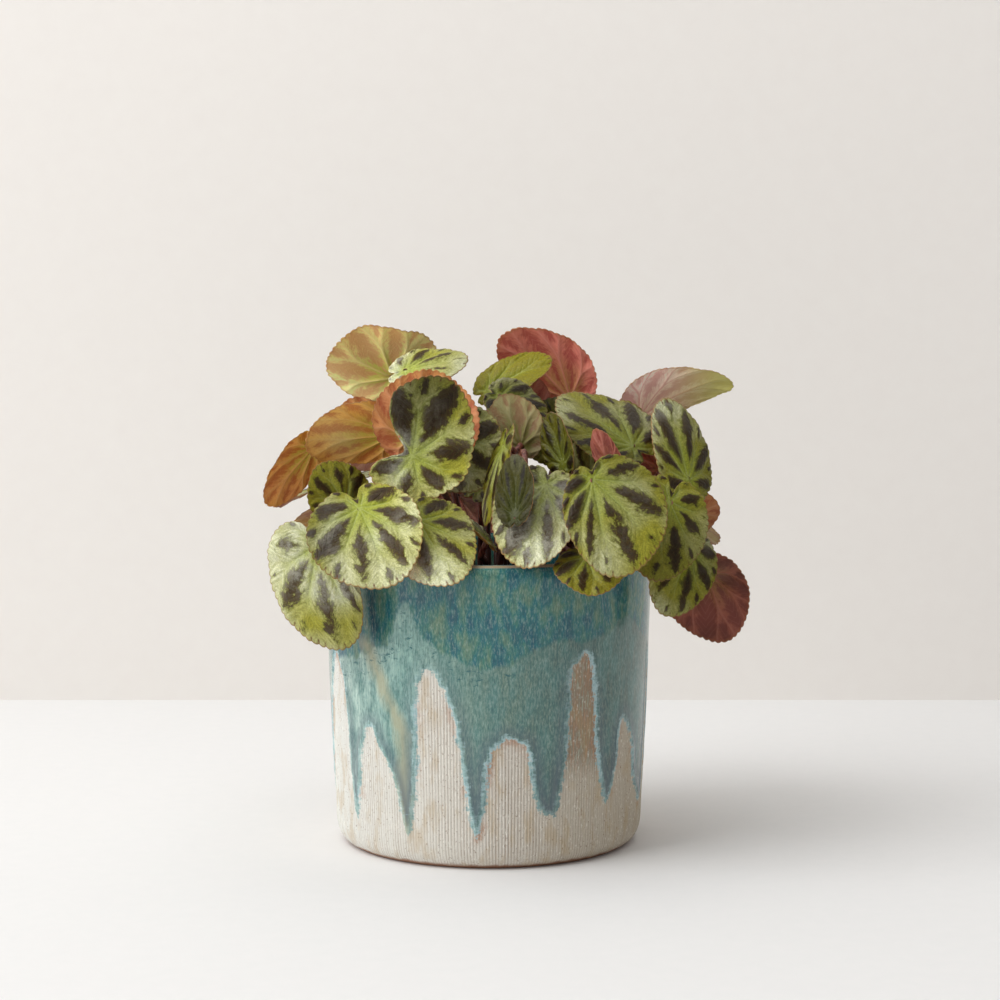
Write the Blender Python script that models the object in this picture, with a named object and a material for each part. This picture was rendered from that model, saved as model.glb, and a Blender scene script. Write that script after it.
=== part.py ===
"""Potted begonia in a drip-glazed stoneware pot.

Every leaf is one piece: a round, notched blade with a waved edge, fused with its own fleshy stalk.
The stalk stands in its own plain hole in the soil. Lengths here are in millimetres.
The origin is the centre of the pot's flat foot, and up is +Z.
"""

import math
import random

import bmesh
import bpy
from mathutils import Vector
from mathutils.bvhtree import BVHTree

SEED = 11

# Pot
POT_HEIGHT = 139.0
POT_SIDES = 56
RIM_RADIUS = 77.3
FOOT_RADIUS = 66.0
WALL = 5.6
FLOOR = 8.0

# Soil
SOIL_TOP = 117.0
SOIL_GAP = 0.3
SOIL_SIDES = 28
SOIL_BUMP = 1.2
HOLE_DEPTH = 9.0
HOLE_GAP = 0.35
ROOT_SPACING = 8.0
ROOT_REACH = 54.0

# Leaves
BLADE = 0.7
HUB_RADIUS = 1.6
NECK = 2.0
STALK_TOP = 1.5
STALK_FOOT = 1.8
STALK_SIDES = 5
SECTORS = 15
RINGS = (0.36, 0.70)
NOTCH_DEPTH = 5.0
NOTCH_SHARE = 0.55
SCALLOP = 0.034
BLADE_CLEAR = 0.8
STALK_CLEAR = 0.6
SLIDE_STEP = 1.5
SLIDE_STEPS = 50
BACK = Vector((0.0, 1.0, -0.07)).normalized()
# Each try at a stalk: how far it runs on from the blade, how far that point rises and swings aside,
# and how high over the soil the stalk turns upright.
BENDS = (
    (14, 0, 0, 30),
    (22, 6, 0, 45),
    (8, 0, 0, 18),
    (14, 0, 12, 30),
    (14, 0, -12, 30),
    (18, 18, 0, 60),
    (12, 0, 24, 40),
    (12, 0, -24, 40),
    (26, 34, 0, 80),
    (34, 14, 0, 60),
    (20, 50, 0, 95),
)

# One row a leaf, in the order they are placed: the point where the stalk joins, the tip, where the
# upper face looks (turn from the front, height), half width and back lobes against the length, how
# far it leans to one side and narrows to the tip, arch along and across, waves at the edge, half
# angle of the notch, and whether it gives way outwards or backwards where it meets a leaf placed
# before it.
LEAVES = (
    ((26, -64, 174), (16, -84, 137), (-8, 20), 0.52, 0.25, 0.05, 0.1, -15, 12, 1.5, 16, "out"),
    ((-31, -66, 158), (-14, -86, 131), (8, 25), 0.62, 0.35, 0.0, 0.1, -10, 0, 1.5, 16, "out"),
    ((44, -74, 143), (49, -92, 127), (3, 45), 0.75, 0.35, 0.0, 0.1, -15, -10, 1.5, 16, "out"),
    ((91, -62, 145), (77, -72, 115), (12, 12), 0.5, 0.3, 0.0, 0.1, -15, 10, 2.0, 16, "out"),
    ((-76, -64, 147), (-56, -68, 105), (-30, 14), 0.5, 0.34, 0.5, 0.1, -10, -14, 1.5, 16, "out"),
    ((81, -72, 167), (72, -86, 132), (10, 22), 0.56, 0.38, 0.0, 0.1, -12, -8, 1.5, 16, "out"),
    ((-57, -70, 164), (-41, -94, 131), (-2, 32), 0.66, 0.34, 0.08, 0.1, -12, -4, 2.0, 18, "out"),
    ((46, -86, 178), (52, -100, 135), (4, 14), 0.55, 0.26, -0.34, 0.1, -16, -10, 1.5, 22, "out"),
    ((12, -78, 161), (12, -70, 190), (-30, 8), 0.38, 0.2, 0.0, 0.1, 10, 20, 1.0, 16, "out"),
    ((7, -52, 191), (-1, -66, 153), (-72, 10), 0.4, 0.3, 0.0, 0.1, -10, 0, 1.0, 16, "back"),
    ((0, -66, 148), (-16, -70, 163), (20, 78), 0.45, 0.3, 0.0, 0.1, -10, 20, 1.0, 16, "back"),
    ((-34, -66, 187), (-11, -64, 176), (2, 16), 1.27, 1.02, -0.26, 0.1, 14, 20, 1.5, 34, "back"),
    ((-20, -50, 193), (-2, -54, 171), (10, 12), 0.88, 0.5, -0.1, 0.1, 0, 5, 1.5, 16, "back"),
    ((-65, -44, 163), (-77, -46, 183), (-10, 30), 0.7, 0.4, 0.0, 0.1, 0, 0, 1.0, 16, "back"),
    ((-36, -46, 193), (-26, -38, 226), (174, 22), 0.8, 0.35, -0.2, 0.1, 10, -20, 2.0, 16, "back"),
    ((-44, -34, 195), (-86, -42, 187), (188, 28), 0.46, 0.2, -0.2, 0.2, -25, -10, 2.0, 16, "back"),
    ((34, -50, 182), (28, -44, 207), (-48, 5), 0.42, 0.25, 0.0, 0.1, 0, 10, 1.0, 16, "back"),
    ((58, -60, 175), (47, -56, 201), (150, 10), 0.28, 0.2, 0.0, 0.1, 0, 10, 0.5, 16, "back"),
    ((47, -58, 171), (46, -50, 197), (0, 30), 0.5, 0.3, 0.0, 0.1, 0, 0, 0.5, 16, "back"),
    ((66, -44, 190), (31, -22, 213), (8, 48), 0.5, 0.25, 0.1, 0.2, -10, -10, 2.0, 16, "back"),
    ((91, -46, 175), (81, -30, 213), (42, 22), 0.48, 0.3, 0.0, 0.15, -12, -5, 1.5, 16, "back"),
    ((84, -52, 159), (108, -50, 161), (165, 10), 0.6, 0.3, 0.0, 0.1, 0, 0, 1.0, 16, "back"),
    ((100, -40, 133), (111, -36, 98), (165, 8), 0.6, 0.3, -0.15, 0.1, -15, -10, 1.5, 16, "back"),
    ((15, -32, 189), (6, -26, 214), (178, 20), 0.6, 0.3, 0.0, 0.1, 0, -15, 1.5, 16, "back"),
    ((-5, -40, 170), (10, -34, 189), (-40, 10), 0.5, 0.3, 0.0, 0.1, 0, 0, 1.0, 16, "back"),
    ((81, -26, 178), (70, -22, 200), (172, 15), 0.6, 0.3, 0.0, 0.1, 0, 0, 1.0, 16, "back"),
    ((-82, -14, 188), (-104, -22, 160), (-128, 12), 0.48, 0.25, 0.0, 0.3, -20, -8, 1.5, 16, "back"),
    ((5, -14, 212), (28, -16, 202), (0, 50), 0.7, 0.3, 0.0, 0.1, 0, 0, 1.5, 16, "back"),
    ((0, -6, 215), (32, -4, 231), (-8, 50), 0.44, 0.25, 0.0, 0.25, -8, 12, 1.5, 16, "back"),
    ((-40, 4, 223), (-9, 2, 229), (4, 58), 0.58, 0.3, 0.0, 0.2, -10, 0, 1.5, 16, "back"),
    ((37, 6, 186), (27, 12, 210), (0, 30), 0.8, 0.3, 0.0, 0.1, 0, 0, 1.5, 16, "back"),
    ((60, -6, 185), (65, 2, 210), (0, 40), 0.7, 0.3, 0.0, 0.1, 0, 0, 1.0, 16, "back"),
    ((72, 0, 201), (119, -12, 216), (186, 40), 0.36, 0.18, 0.3, 0.45, -55, 10, 1.0, 16, "back"),
    ((-53, 2, 190), (-68, 0, 210), (180, 25), 0.6, 0.3, 0.0, 0.1, 0, 0, 1.0, 16, "back"),
    ((16, 16, 197), (22, 18, 221), (180, 25), 0.6, 0.3, 0.0, 0.1, 0, 0, 1.0, 16, "back"),
    ((-47, 34, 219), (-56, 14, 245), (182, 42), 0.92, 0.35, 0.1, 0.1, -20, 5, 2.5, 16, "back"),
    ((40, 36, 208), (4, 26, 240), (184, 28), 0.46, 0.18, -0.15, 0.15, -35, -5, 2.0, 16, "back"),
    ((-38, 62, 190), (-66, 92, 168), (-150, 50), 0.6, 0.35, 0.0, 0.1, -20, 0, 2.0, 16, "back"),
    ((4, 70, 196), (10, 112, 176), (178, 55), 0.6, 0.35, 0.0, 0.1, -20, 0, 2.0, 16, "back"),
    ((48, 58, 186), (78, 90, 160), (150, 50), 0.6, 0.35, 0.0, 0.1, -20, 0, 2.0, 16, "back"),
    ((-62, 40, 158), (-98, 66, 128), (-130, 35), 0.6, 0.35, 0.0, 0.1, -20, 0, 2.0, 16, "back"),
    ((-16, 74, 158), (-24, 104, 118), (-170, 30), 0.6, 0.35, 0.0, 0.1, -20, 0, 2.0, 16, "back"),
    ((34, 72, 156), (44, 102, 116), (165, 30), 0.6, 0.35, 0.0, 0.1, -20, 0, 2.0, 16, "back"),
    ((74, 30, 160), (112, 48, 134), (115, 35), 0.6, 0.35, 0.0, 0.1, -20, 0, 2.0, 16, "back"),
    ((-66, 8, 172), (-104, 14, 156), (-95, 50), 0.6, 0.35, 0.0, 0.1, -20, 0, 2.0, 16, "back"),
)


def metres(point):
    return Vector(point) * 0.001


def make_object(name, points, faces, colour, roughness, smooth):
    """A mesh object from points in millimetres, with a material of its own."""
    mesh = bpy.data.meshes.new(name)
    mesh.from_pydata([metres(point) for point in points], [], faces)
    mesh.validate()
    material = bpy.data.materials.new(name)
    material.use_nodes = True
    shader = material.node_tree.nodes["Principled BSDF"]
    shader.inputs["Base Color"].default_value = (*colour, 1.0)
    shader.inputs["Roughness"].default_value = roughness
    mesh.materials.append(material)
    mesh.polygons.foreach_set("use_smooth", [smooth] * len(mesh.polygons))
    obj = bpy.data.objects.new(name, mesh)
    bpy.context.scene.collection.objects.link(obj)
    return obj


def turned(profile, sides):
    """A profile of (radius, height), from axis to axis, spun round the pot's axis into a closed form."""
    form = bmesh.new()
    line = [form.verts.new((radius, 0, height)) for radius, height in profile]
    edges = [form.edges.new(pair) for pair in zip(line, line[1:])]
    bmesh.ops.spin(
        form, geom=line + edges, axis=(0, 0, 1), cent=(0, 0, 0), angle=2 * math.pi, steps=sides
    )
    bmesh.ops.remove_doubles(form, verts=form.verts, dist=0.01)
    bmesh.ops.recalc_face_normals(form, faces=form.faces)
    return form


def points_and_faces(form):
    """The form as plain lists; the form itself is freed."""
    form.verts.index_update()
    points = [vert.co.copy() for vert in form.verts]
    faces = [tuple(vert.index for vert in face.verts) for face in form.faces]
    form.free()
    return points, faces


def bridge(first, second, sides):
    """Triangles between the rings that start at first and second, facing out if second is higher."""
    faces = []
    for i in range(sides):
        j = (i + 1) % sides
        faces.append((first + i, first + j, second + j))
        faces.append((first + i, second + j, second + i))
    return faces


def pot_profile():
    """Radius and height from under the foot, up the outside, over the lip and down to the floor inside."""
    inner = RIM_RADIUS - WALL
    return (
        (0.0, 0.0),
        (FOOT_RADIUS, 0.0),
        (FOOT_RADIUS + 2.8, 1.1),
        (FOOT_RADIUS + 5.3, 4.6),
        (FOOT_RADIUS + 6.9, 13.0),
        (RIM_RADIUS - 1.6, 88.0),
        (RIM_RADIUS, POT_HEIGHT - 4.0),
        (RIM_RADIUS - 0.5, POT_HEIGHT - 1.6),
        (RIM_RADIUS - 1.9, POT_HEIGHT - 0.2),
        (RIM_RADIUS - 3.5, POT_HEIGHT),
        (inner + 0.5, POT_HEIGHT - 1.5),
        (inner, POT_HEIGHT - 4.0),
        (inner - 4.0, 20.0),
        (inner - 9.0, FLOOR),
        (0.0, FLOOR),
    )


def build_pot():
    """A thrown cylinder: rounded foot, slight flare, rounded lip and a flat floor."""
    points, faces = points_and_faces(turned(pot_profile(), POT_SIDES))
    make_object("pot", points, faces, (0.10, 0.30, 0.32), 0.25, True)
    return points, faces


def soil_radius(height):
    """The inside of the pot at a height, less the gap."""
    wall = pot_profile()[11:14]
    for (top_r, top_z), (low_r, low_z) in zip(wall, wall[1:]):
        if height >= low_z:
            share = (height - low_z) / (top_z - low_z)
            return low_r + (top_r - low_r) * share - SOIL_GAP
    return wall[-1][0] - SOIL_GAP


def hole_cutter(roots):
    """One guide that holds a plain upright prism for each stalk."""
    points = []
    faces = []
    radius = STALK_FOOT + HOLE_GAP
    # A prism's flats are nearer its axis than its corners are.
    radius /= math.cos(math.pi / STALK_SIDES)
    for root in roots:
        base = len(points)
        for height in (SOIL_TOP - HOLE_DEPTH - HOLE_GAP, SOIL_TOP + 10.0):
            for i in range(STALK_SIDES):
                angle = 2 * math.pi * i / STALK_SIDES
                out = Vector((math.cos(angle), math.sin(angle), 0)) * radius
                points.append(Vector((root.x, root.y, height)) + out)
        faces += bridge(base, base + STALK_SIDES, STALK_SIDES)
        faces.append(tuple(base + i for i in reversed(range(STALK_SIDES))))
        faces.append(tuple(base + STALK_SIDES + i for i in range(STALK_SIDES)))
    mesh = bpy.data.meshes.new("holes")
    mesh.from_pydata([metres(point) for point in points], [], faces)
    cutter = bpy.data.objects.new("holes", mesh)
    bpy.context.scene.collection.objects.link(cutter)
    cutter.hide_render = True
    cutter.display_type = "WIRE"
    return cutter


def build_soil(roots):
    """The mix that fills the pot, its top a little uneven, with a hole where each stalk stands."""
    base = FLOOR + SOIL_GAP
    wide = soil_radius(SOIL_TOP)
    profile = [(0.0, base), (soil_radius(base), base), (soil_radius(20.0), 20.0), (wide, SOIL_TOP)]
    profile += [(wide * 0.8, SOIL_TOP), (wide * 0.45, SOIL_TOP), (0.0, SOIL_TOP + 1.0)]
    form = turned(profile, SOIL_SIDES)
    draw = random.Random(SEED)
    for vert in form.verts:
        if vert.co.z > SOIL_TOP - 1.0 and vert.co.xy.length < wide * 0.9:
            vert.co.z += draw.uniform(-SOIL_BUMP, SOIL_BUMP)
    bmesh.ops.triangulate(form, faces=form.faces)
    soil = make_object("soil", *points_and_faces(form), (0.045, 0.030, 0.022), 0.95, False)
    cutter = hole_cutter(roots)
    cut = soil.modifiers.new("holes", "BOOLEAN")
    cut.operation = "DIFFERENCE"
    cut.solver = "EXACT"
    cut.object = cutter
    graph = bpy.context.evaluated_depsgraph_get()
    pierced = bpy.data.meshes.new_from_object(soil.evaluated_get(graph))
    soil.modifiers.clear()
    soil.data = pierced
    bpy.data.objects.remove(cutter)


def outline_radius(theta, length, width, lobes, skew):
    """Distance from the stalk to the edge of an ellipse that reaches past it, in one direction."""
    along = (1 + lobes) * length / 2
    across = width * length
    centre = along - lobes * length
    side = skew * across
    p = math.sin(theta)
    q = math.cos(theta)
    a = q * q / along**2 + p * p / across**2
    b = centre * q / along**2 + side * p / across**2
    c = centre**2 / along**2 + side**2 / across**2 - 1
    reach = (b + math.sqrt(b * b - a * c)) / a
    return reach * (1 + 0.07 * math.exp(-((theta / 0.3) ** 2)))


def sector_angles(notch):
    """Directions of the blade's spokes: the notch first, then evenly round from one lobe to the other."""
    open_half = math.radians(notch)
    step = 2 * (math.pi - open_half) / (SECTORS - 2)
    return [math.pi] + [math.pi - open_half - step * i for i in range(SECTORS - 1)]


def flat_blade(leaf, draw):
    """The blade laid flat: points (side, along), ring by ring, from the stalk."""
    shape = leaf["shape"]
    angles = sector_angles(leaf["notch"])
    reach = [outline_radius(angle, *shape) for angle in angles]
    reach[1] *= 0.93
    reach[-1] *= 0.93
    reach[0] = min(NOTCH_DEPTH, NOTCH_SHARE * min(reach[1], reach[-1]))
    rim = []
    for i, angle in enumerate(angles):
        rim.append((angle, reach[i]))
        middle = (angle + angles[(i + 1) % SECTORS]) / 2
        rim.append((middle, outline_radius(middle, *shape)))
    scalloped = []
    for i, (angle, far) in enumerate(rim):
        if 1 < i < len(rim) - 1:
            far *= 1 + (SCALLOP if i % 2 else -SCALLOP) + draw.uniform(-0.012, 0.012)
        scalloped.append((far * math.sin(angle), far * math.cos(angle)))
    for i in (1, -1):
        lobe = scalloped[2 * i]
        # Each side of the notch is straight, so that it stays outside the ring within it.
        scalloped[i] = (lobe[0] / 2, (scalloped[0][1] + lobe[1]) / 2)
    points = [(0.0, 0.0)]
    for i in range(STALK_SIDES):
        angle = math.pi - 2 * math.pi * i / STALK_SIDES
        points.append((HUB_RADIUS * math.sin(angle), HUB_RADIUS * math.cos(angle)))
    for share in RINGS:
        for angle, far in zip(angles, reach):
            out = HUB_RADIUS + share * (far - HUB_RADIUS)
            points.append((out * math.sin(angle), out * math.cos(angle)))
    return points + scalloped


def blade_faces():
    """Triangles of one face of the blade, seen from above."""
    faces = [(0, 1 + i, 1 + (i + 1) % STALK_SIDES) for i in range(STALK_SIDES)]
    first = 1 + STALK_SIDES
    group = SECTORS // STALK_SIDES
    for i in range(STALK_SIDES):
        here = 1 + i
        after = 1 + (i + 1) % STALK_SIDES
        spokes = [first + (group * i + k) % SECTORS for k in range(group + 1)]
        faces.append((here, spokes[0], spokes[1]))
        faces.append((here, spokes[1], after))
        faces.append((after, spokes[1], spokes[2]))
        faces.append((after, spokes[2], spokes[3]))
    second = first + SECTORS
    faces += bridge(second, first, SECTORS)
    rim = second + SECTORS
    for i in range(SECTORS):
        here = second + i
        after = second + (i + 1) % SECTORS
        edge = [rim + (2 * i + k) % (2 * SECTORS) for k in range(3)]
        faces.append((here, edge[0], edge[1]))
        faces.append((here, edge[1], after))
        faces.append((after, edge[1], edge[2]))
    return faces


def bent(side, along, leaf):
    """A point of the flat blade after waving its edge, then arching it across and along."""
    length, width = leaf["shape"][:2]
    turn = math.atan2(side, along)
    far = min(1.0, math.hypot(side, along) / length)
    up = leaf["wave"] * far * far * math.sin(leaf["ripples"] * turn + leaf["phase"])
    across = math.radians(leaf["trough"]) / (width * length)
    if abs(across) > 1e-6:
        angle = across * side
        side, up = math.sin(angle) * (1 / across - up), 1 / across - math.cos(angle) * (1 / across - up)
    down = math.radians(leaf["arch"]) / length
    if abs(down) > 1e-6:
        angle = down * along
        along, up = math.sin(angle) * (1 / down - up), 1 / down - math.cos(angle) * (1 / down - up)
    return Vector((side, along, up))


def direction(turn, height):
    """A unit vector: turn 0 looks to the front, 90 to the right, and height lifts it."""
    a = math.radians(turn)
    b = math.radians(height)
    return Vector((math.sin(a) * math.cos(b), -math.cos(a) * math.cos(b), math.sin(b)))


def leaf_from_row(index, row):
    """The row as named values, with the draws that make each leaf differ."""
    hub, tip, face, width, lobes, skew, taper, arch, trough, wave, notch, way = row
    draw = random.Random(SEED + index)
    leaf = {"hub": Vector(hub), "tip": Vector(tip), "face": direction(*face), "arch": arch}
    leaf.update(trough=trough, wave=wave, notch=notch, way=way, ripples=draw.choice((4, 5)))
    leaf["phase"] = draw.uniform(0, 2 * math.pi)
    chord = (leaf["tip"] - leaf["hub"]).length
    leaf["shape"] = (1.0, width, lobes, skew)
    leaf["wave"] = 0.0
    reach = bent(0.0, outline_radius(0.0, *leaf["shape"]), leaf).length
    leaf["shape"] = (chord / reach, width, lobes, skew)
    leaf["wave"] = wave
    narrowed = []
    for side, along in flat_blade(leaf, draw):
        side *= 1 - taper * max(0.0, along) * reach / chord
        narrowed.append((side, along))
    leaf["flat"] = narrowed
    return leaf


def laid_blade(leaf):
    """Middle points and normals of the blade, turned so that it runs from the hub to the tip."""
    rim_start = 1 + STALK_SIDES + len(RINGS) * SECTORS
    end = bent(*leaf["flat"][rim_start + SECTORS], leaf)
    ahead = Vector((0, end.y, end.z)).normalized()
    over = Vector((0, -ahead.z, ahead.y))
    run = (leaf["tip"] - leaf["hub"]).normalized()
    up = (leaf["face"] - run * leaf["face"].dot(run)).normalized()
    right = run.cross(up)

    def place(vector):
        return right * vector.x + run * vector.dot(ahead) + up * vector.dot(over)

    middles = []
    normals = []
    for side, along in leaf["flat"]:
        here = bent(side, along, leaf)
        to_side = bent(side + 0.2, along, leaf) - here
        to_tip = bent(side, along + 0.2, leaf) - here
        middles.append(leaf["hub"] + place(here))
        normals.append(place(to_side.cross(to_tip).normalized()))
    return middles, normals, run


def stalk_rings(leaf, middles, normals, run, root, bend, grow):
    """Rings of the stalk from under the hub, along a curve, to its flat end in the soil."""
    on, rise, swing_x, upright = bend
    start = middles[0] - normals[0] * NECK
    away = (-normals[0] - 0.5 * run).normalized()
    aside = run.cross(normals[0])
    first = start + away * on + Vector((0, 0, rise)) + aside * swing_x
    foot = Vector((root.x, root.y, SOIL_TOP + 1.5))
    second = foot + Vector((0, 0, upright))
    axis_x = (middles[1] - middles[0]).normalized()
    rings = [spoke_ring(start, axis_x, axis_x.cross(-normals[0]), STALK_TOP + grow)]
    for step in (0.22, 0.48, 0.74, 1.0):
        a, b, c, d = (1 - step) ** 3, 3 * step * (1 - step) ** 2, 3 * step * step * (1 - step), step**3
        centre = start * a + first * b + second * c + foot * d
        speed = (first - start) * (1 - step) ** 2 + (second - first) * 2 * step * (1 - step)
        speed += (foot - second) * step * step
        ahead = speed.normalized()
        axis_x = (axis_x - ahead * axis_x.dot(ahead)).normalized()
        axis_y = axis_x.cross(ahead)
        radius = STALK_TOP + (STALK_FOOT - STALK_TOP) * step + grow
        rings.append(spoke_ring(centre, axis_x, axis_y, radius))
    end = foot - Vector((0, 0, HOLE_DEPTH + 1.5))
    rings.append(spoke_ring(end, axis_x, axis_y, STALK_FOOT + grow))
    return rings


def spoke_ring(centre, axis_x, axis_y, radius):
    """Points round a stalk, in the same order as the hub's points."""
    angles = [2 * math.pi * i / STALK_SIDES for i in range(STALK_SIDES)]
    return [centre + (axis_x * math.cos(a) + axis_y * math.sin(a)) * radius for a in angles]


def blade_shell(middles, normals, half):
    """Both faces of the blade and its edge, as points and triangles; the hub's middle is above only."""
    top = [m + n * half for m, n in zip(middles, normals)]
    low = [m - n * half for m, n in zip(middles, normals)]
    faces = blade_faces()
    count = len(top)
    under = [(c + count, b + count, a + count) for a, b, c in faces if a != 0]
    rim = count - 2 * SECTORS
    return top + low, faces + under + bridge(count + rim, rim, 2 * SECTORS), count


def whole_leaf(middles, normals, rings):
    """Blade and stalk as one closed mesh: the stalk starts from the ring under the hub."""
    points, faces, count = blade_shell(middles, normals, BLADE / 2)
    above = count + 1
    for ring in rings:
        start = len(points)
        points += ring
        faces += bridge(start, above, STALK_SIDES)
        above = start
    faces += [(above, above + i + 2, above + i + 1) for i in range(STALK_SIDES - 2)]
    # The point under the hub's middle belongs to no face.
    points.pop(count)
    faces = [tuple(i - (i > count) for i in face) for face in faces]
    return points, faces


def tube_shell(rings):
    """The stalk on its own, for trying whether it is clear."""
    points = []
    faces = []
    for ring in rings:
        if points:
            faces += bridge(len(points), len(points) - STALK_SIDES, STALK_SIDES)
        points += ring
    return points, faces


def free_roots(leaf, taken):
    """Spots for a stalk on a close-set grid, nearest first to a point in from the hub."""
    wish = Vector((leaf["hub"].x, leaf["hub"].y)) * 0.5
    spots = []
    for row in range(-8, 9):
        for column in range(-8, 9):
            x = (column + (row % 2) / 2) * ROOT_SPACING
            y = row * ROOT_SPACING * math.sqrt(3) / 2
            spot = Vector((x, y))
            if spot.length < ROOT_REACH and (row, column) not in taken:
                spots.append(((spot - wish).length, row, column, spot))
    spots.sort(key=lambda entry: entry[:3])
    return spots


def passes_itself(points, faces):
    """True where two triangles that share no corner meet."""
    tree = BVHTree.FromPolygons(points, faces)
    return any(not set(faces[a]) & set(faces[b]) for a, b in tree.overlap(tree))


def clear_of(tree, points, faces):
    return not tree.overlap(BVHTree.FromPolygons(points, faces))


def over_soil(middles):
    """True where no point of the blade is inside the pot and near the soil."""
    inside = [m for m in middles if math.hypot(m.x, m.y) < RIM_RADIUS]
    return all(m.z > SOIL_TOP + 3.0 for m in inside)


def placed_leaf(leaf, tree, taken):
    """The first place on its way, with a stalk, where the leaf is clear of all placed before."""
    hub = leaf["hub"].copy()
    tip = leaf["tip"].copy()
    way = -BACK if leaf["way"] == "out" else BACK
    for step in range(SLIDE_STEPS):
        leaf["hub"] = hub + way * SLIDE_STEP * step
        leaf["tip"] = tip + way * SLIDE_STEP * step
        middles, normals, run = laid_blade(leaf)
        points, faces, _ = blade_shell(middles, normals, BLADE / 2 + BLADE_CLEAR)
        if not over_soil(middles) or not clear_of(tree, points, faces):
            continue
        own = BVHTree.FromPolygons(points, faces)
        for _, row, column, root in free_roots(leaf, taken)[:14]:
            for bend in BENDS:
                wide = stalk_rings(leaf, middles, normals, run, root, bend, STALK_CLEAR)
                stalk = tube_shell(wide)
                if not clear_of(tree, *stalk) or not clear_of(own, *stalk):
                    continue
                rings = stalk_rings(leaf, middles, normals, run, root, bend, 0.0)
                solid = whole_leaf(middles, normals, rings)
                if not passes_itself(*solid):
                    taken.add((row, column))
                    return solid, root, step
    raise RuntimeError("a leaf found no clear place")


def build_leaves(pot):
    """Places the leaves one after another and returns where their stalks stand."""
    points = list(pot[0])
    faces = list(pot[1])
    taken = set()
    roots = []
    for index, row in enumerate(LEAVES, 1):
        tree = BVHTree.FromPolygons(points, faces)
        solid, root, step = placed_leaf(leaf_from_row(index, row), tree, taken)
        print(f"leaf_{index:02d} gives way by {step * SLIDE_STEP:.1f} mm")
        roots.append(root)
        start = len(points)
        points += solid[0]
        faces += [tuple(start + i for i in face) for face in solid[1]]
        make_object(f"leaf_{index:02d}", *solid, (0.22, 0.33, 0.10), 0.45, True)
    return roots


def main():
    for obj in list(bpy.data.objects):
        bpy.data.objects.remove(obj, do_unlink=True)
    pot = build_pot()
    build_soil(build_leaves(pot))


main()
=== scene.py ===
# %% [markdown]
# # A potted begonia, dressed for a portrait
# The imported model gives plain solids: one pot, one bed of soil and one solid for each leaf.
# Here each solid gets a finer piece in the same place. The pot gets its combed clay and its running
# glaze, the soil gets its crumbs, and each leaf gets veins, teeth and a striped face.

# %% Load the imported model
import math

import bmesh
import bpy
import numpy as np
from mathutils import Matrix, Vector, kdtree, noise


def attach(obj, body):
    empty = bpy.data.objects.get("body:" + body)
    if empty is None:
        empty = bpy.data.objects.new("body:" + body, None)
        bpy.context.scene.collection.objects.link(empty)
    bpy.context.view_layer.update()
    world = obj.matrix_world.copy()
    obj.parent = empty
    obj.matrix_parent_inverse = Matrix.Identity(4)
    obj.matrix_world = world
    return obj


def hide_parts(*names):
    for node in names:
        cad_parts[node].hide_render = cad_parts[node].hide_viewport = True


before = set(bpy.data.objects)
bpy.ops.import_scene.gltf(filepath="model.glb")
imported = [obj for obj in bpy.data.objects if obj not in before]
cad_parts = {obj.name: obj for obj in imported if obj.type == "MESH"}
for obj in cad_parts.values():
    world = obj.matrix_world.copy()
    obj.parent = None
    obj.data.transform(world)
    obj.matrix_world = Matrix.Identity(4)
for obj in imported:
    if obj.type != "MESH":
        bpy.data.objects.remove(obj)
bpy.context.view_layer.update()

scene = bpy.context.scene
leaf_names = sorted(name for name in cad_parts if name.startswith("leaf_"))
print("nodes:", len(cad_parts), "of them leaves:", len(leaf_names))

# %% [markdown]
# ## Colours and nodes
# A colour picked on a screen is sRGB, and the renderer works in linear light, so one function turns a
# hex value to linear. A second one adds any shader node with its settings and links, which keeps each
# finish readable from top to bottom: every line is one node.

# %% Helpers for colours and shader nodes
def linear(code):
    """A hex colour such as "#1f6f7c" as linear red, green, blue and alpha."""
    parts = [int(code[i : i + 2], 16) / 255 for i in (1, 3, 5)]
    return (*[p / 12.92 if p <= 0.04045 else ((p + 0.055) / 1.055) ** 2.4 for p in parts], 1.0)


def put(tree, kind, inputs, out=0, stops=(), **settings):
    """Adds a node; inputs maps a socket's name or number to a value, a hex colour or an output."""
    node = tree.nodes.new("ShaderNode" + kind)
    for name, value in settings.items():
        setattr(node, name, value)
    for spot, (place, value) in enumerate(stops):
        band = node.color_ramp.elements
        stop = band[spot] if spot < 2 else band.new(place)
        stop.position = place
        stop.color = linear(value) if isinstance(value, str) else (value, value, value, 1.0)
    for name, value in inputs.items():
        if isinstance(value, bpy.types.NodeSocket):
            tree.links.new(value, node.inputs[name])
        else:
            node.inputs[name].default_value = linear(value) if isinstance(value, str) else value
    return node.outputs[out] if len(node.outputs) else None


def new_finish(name):
    """An empty node material and its tree."""
    material = bpy.data.materials.new(name)
    material.use_nodes = True
    material.node_tree.nodes.clear()
    return material, material.node_tree


print("linear teal:", [round(v, 3) for v in linear("#1f6f7c")])

# %% [markdown]
# ## Room and light
# The plant stands on a white table in front of a cream wall. A large soft lamp high on the left gives the
# bright left side and the soft shadow on the right, and a pale sky fills the rest. Both room surfaces
# are matt paint, so each gets a fine mottling and nothing shiny. A wall would hide the plant from a
# camera behind it, so each surface is see-through from its back, and the table runs on under the wall.

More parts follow.
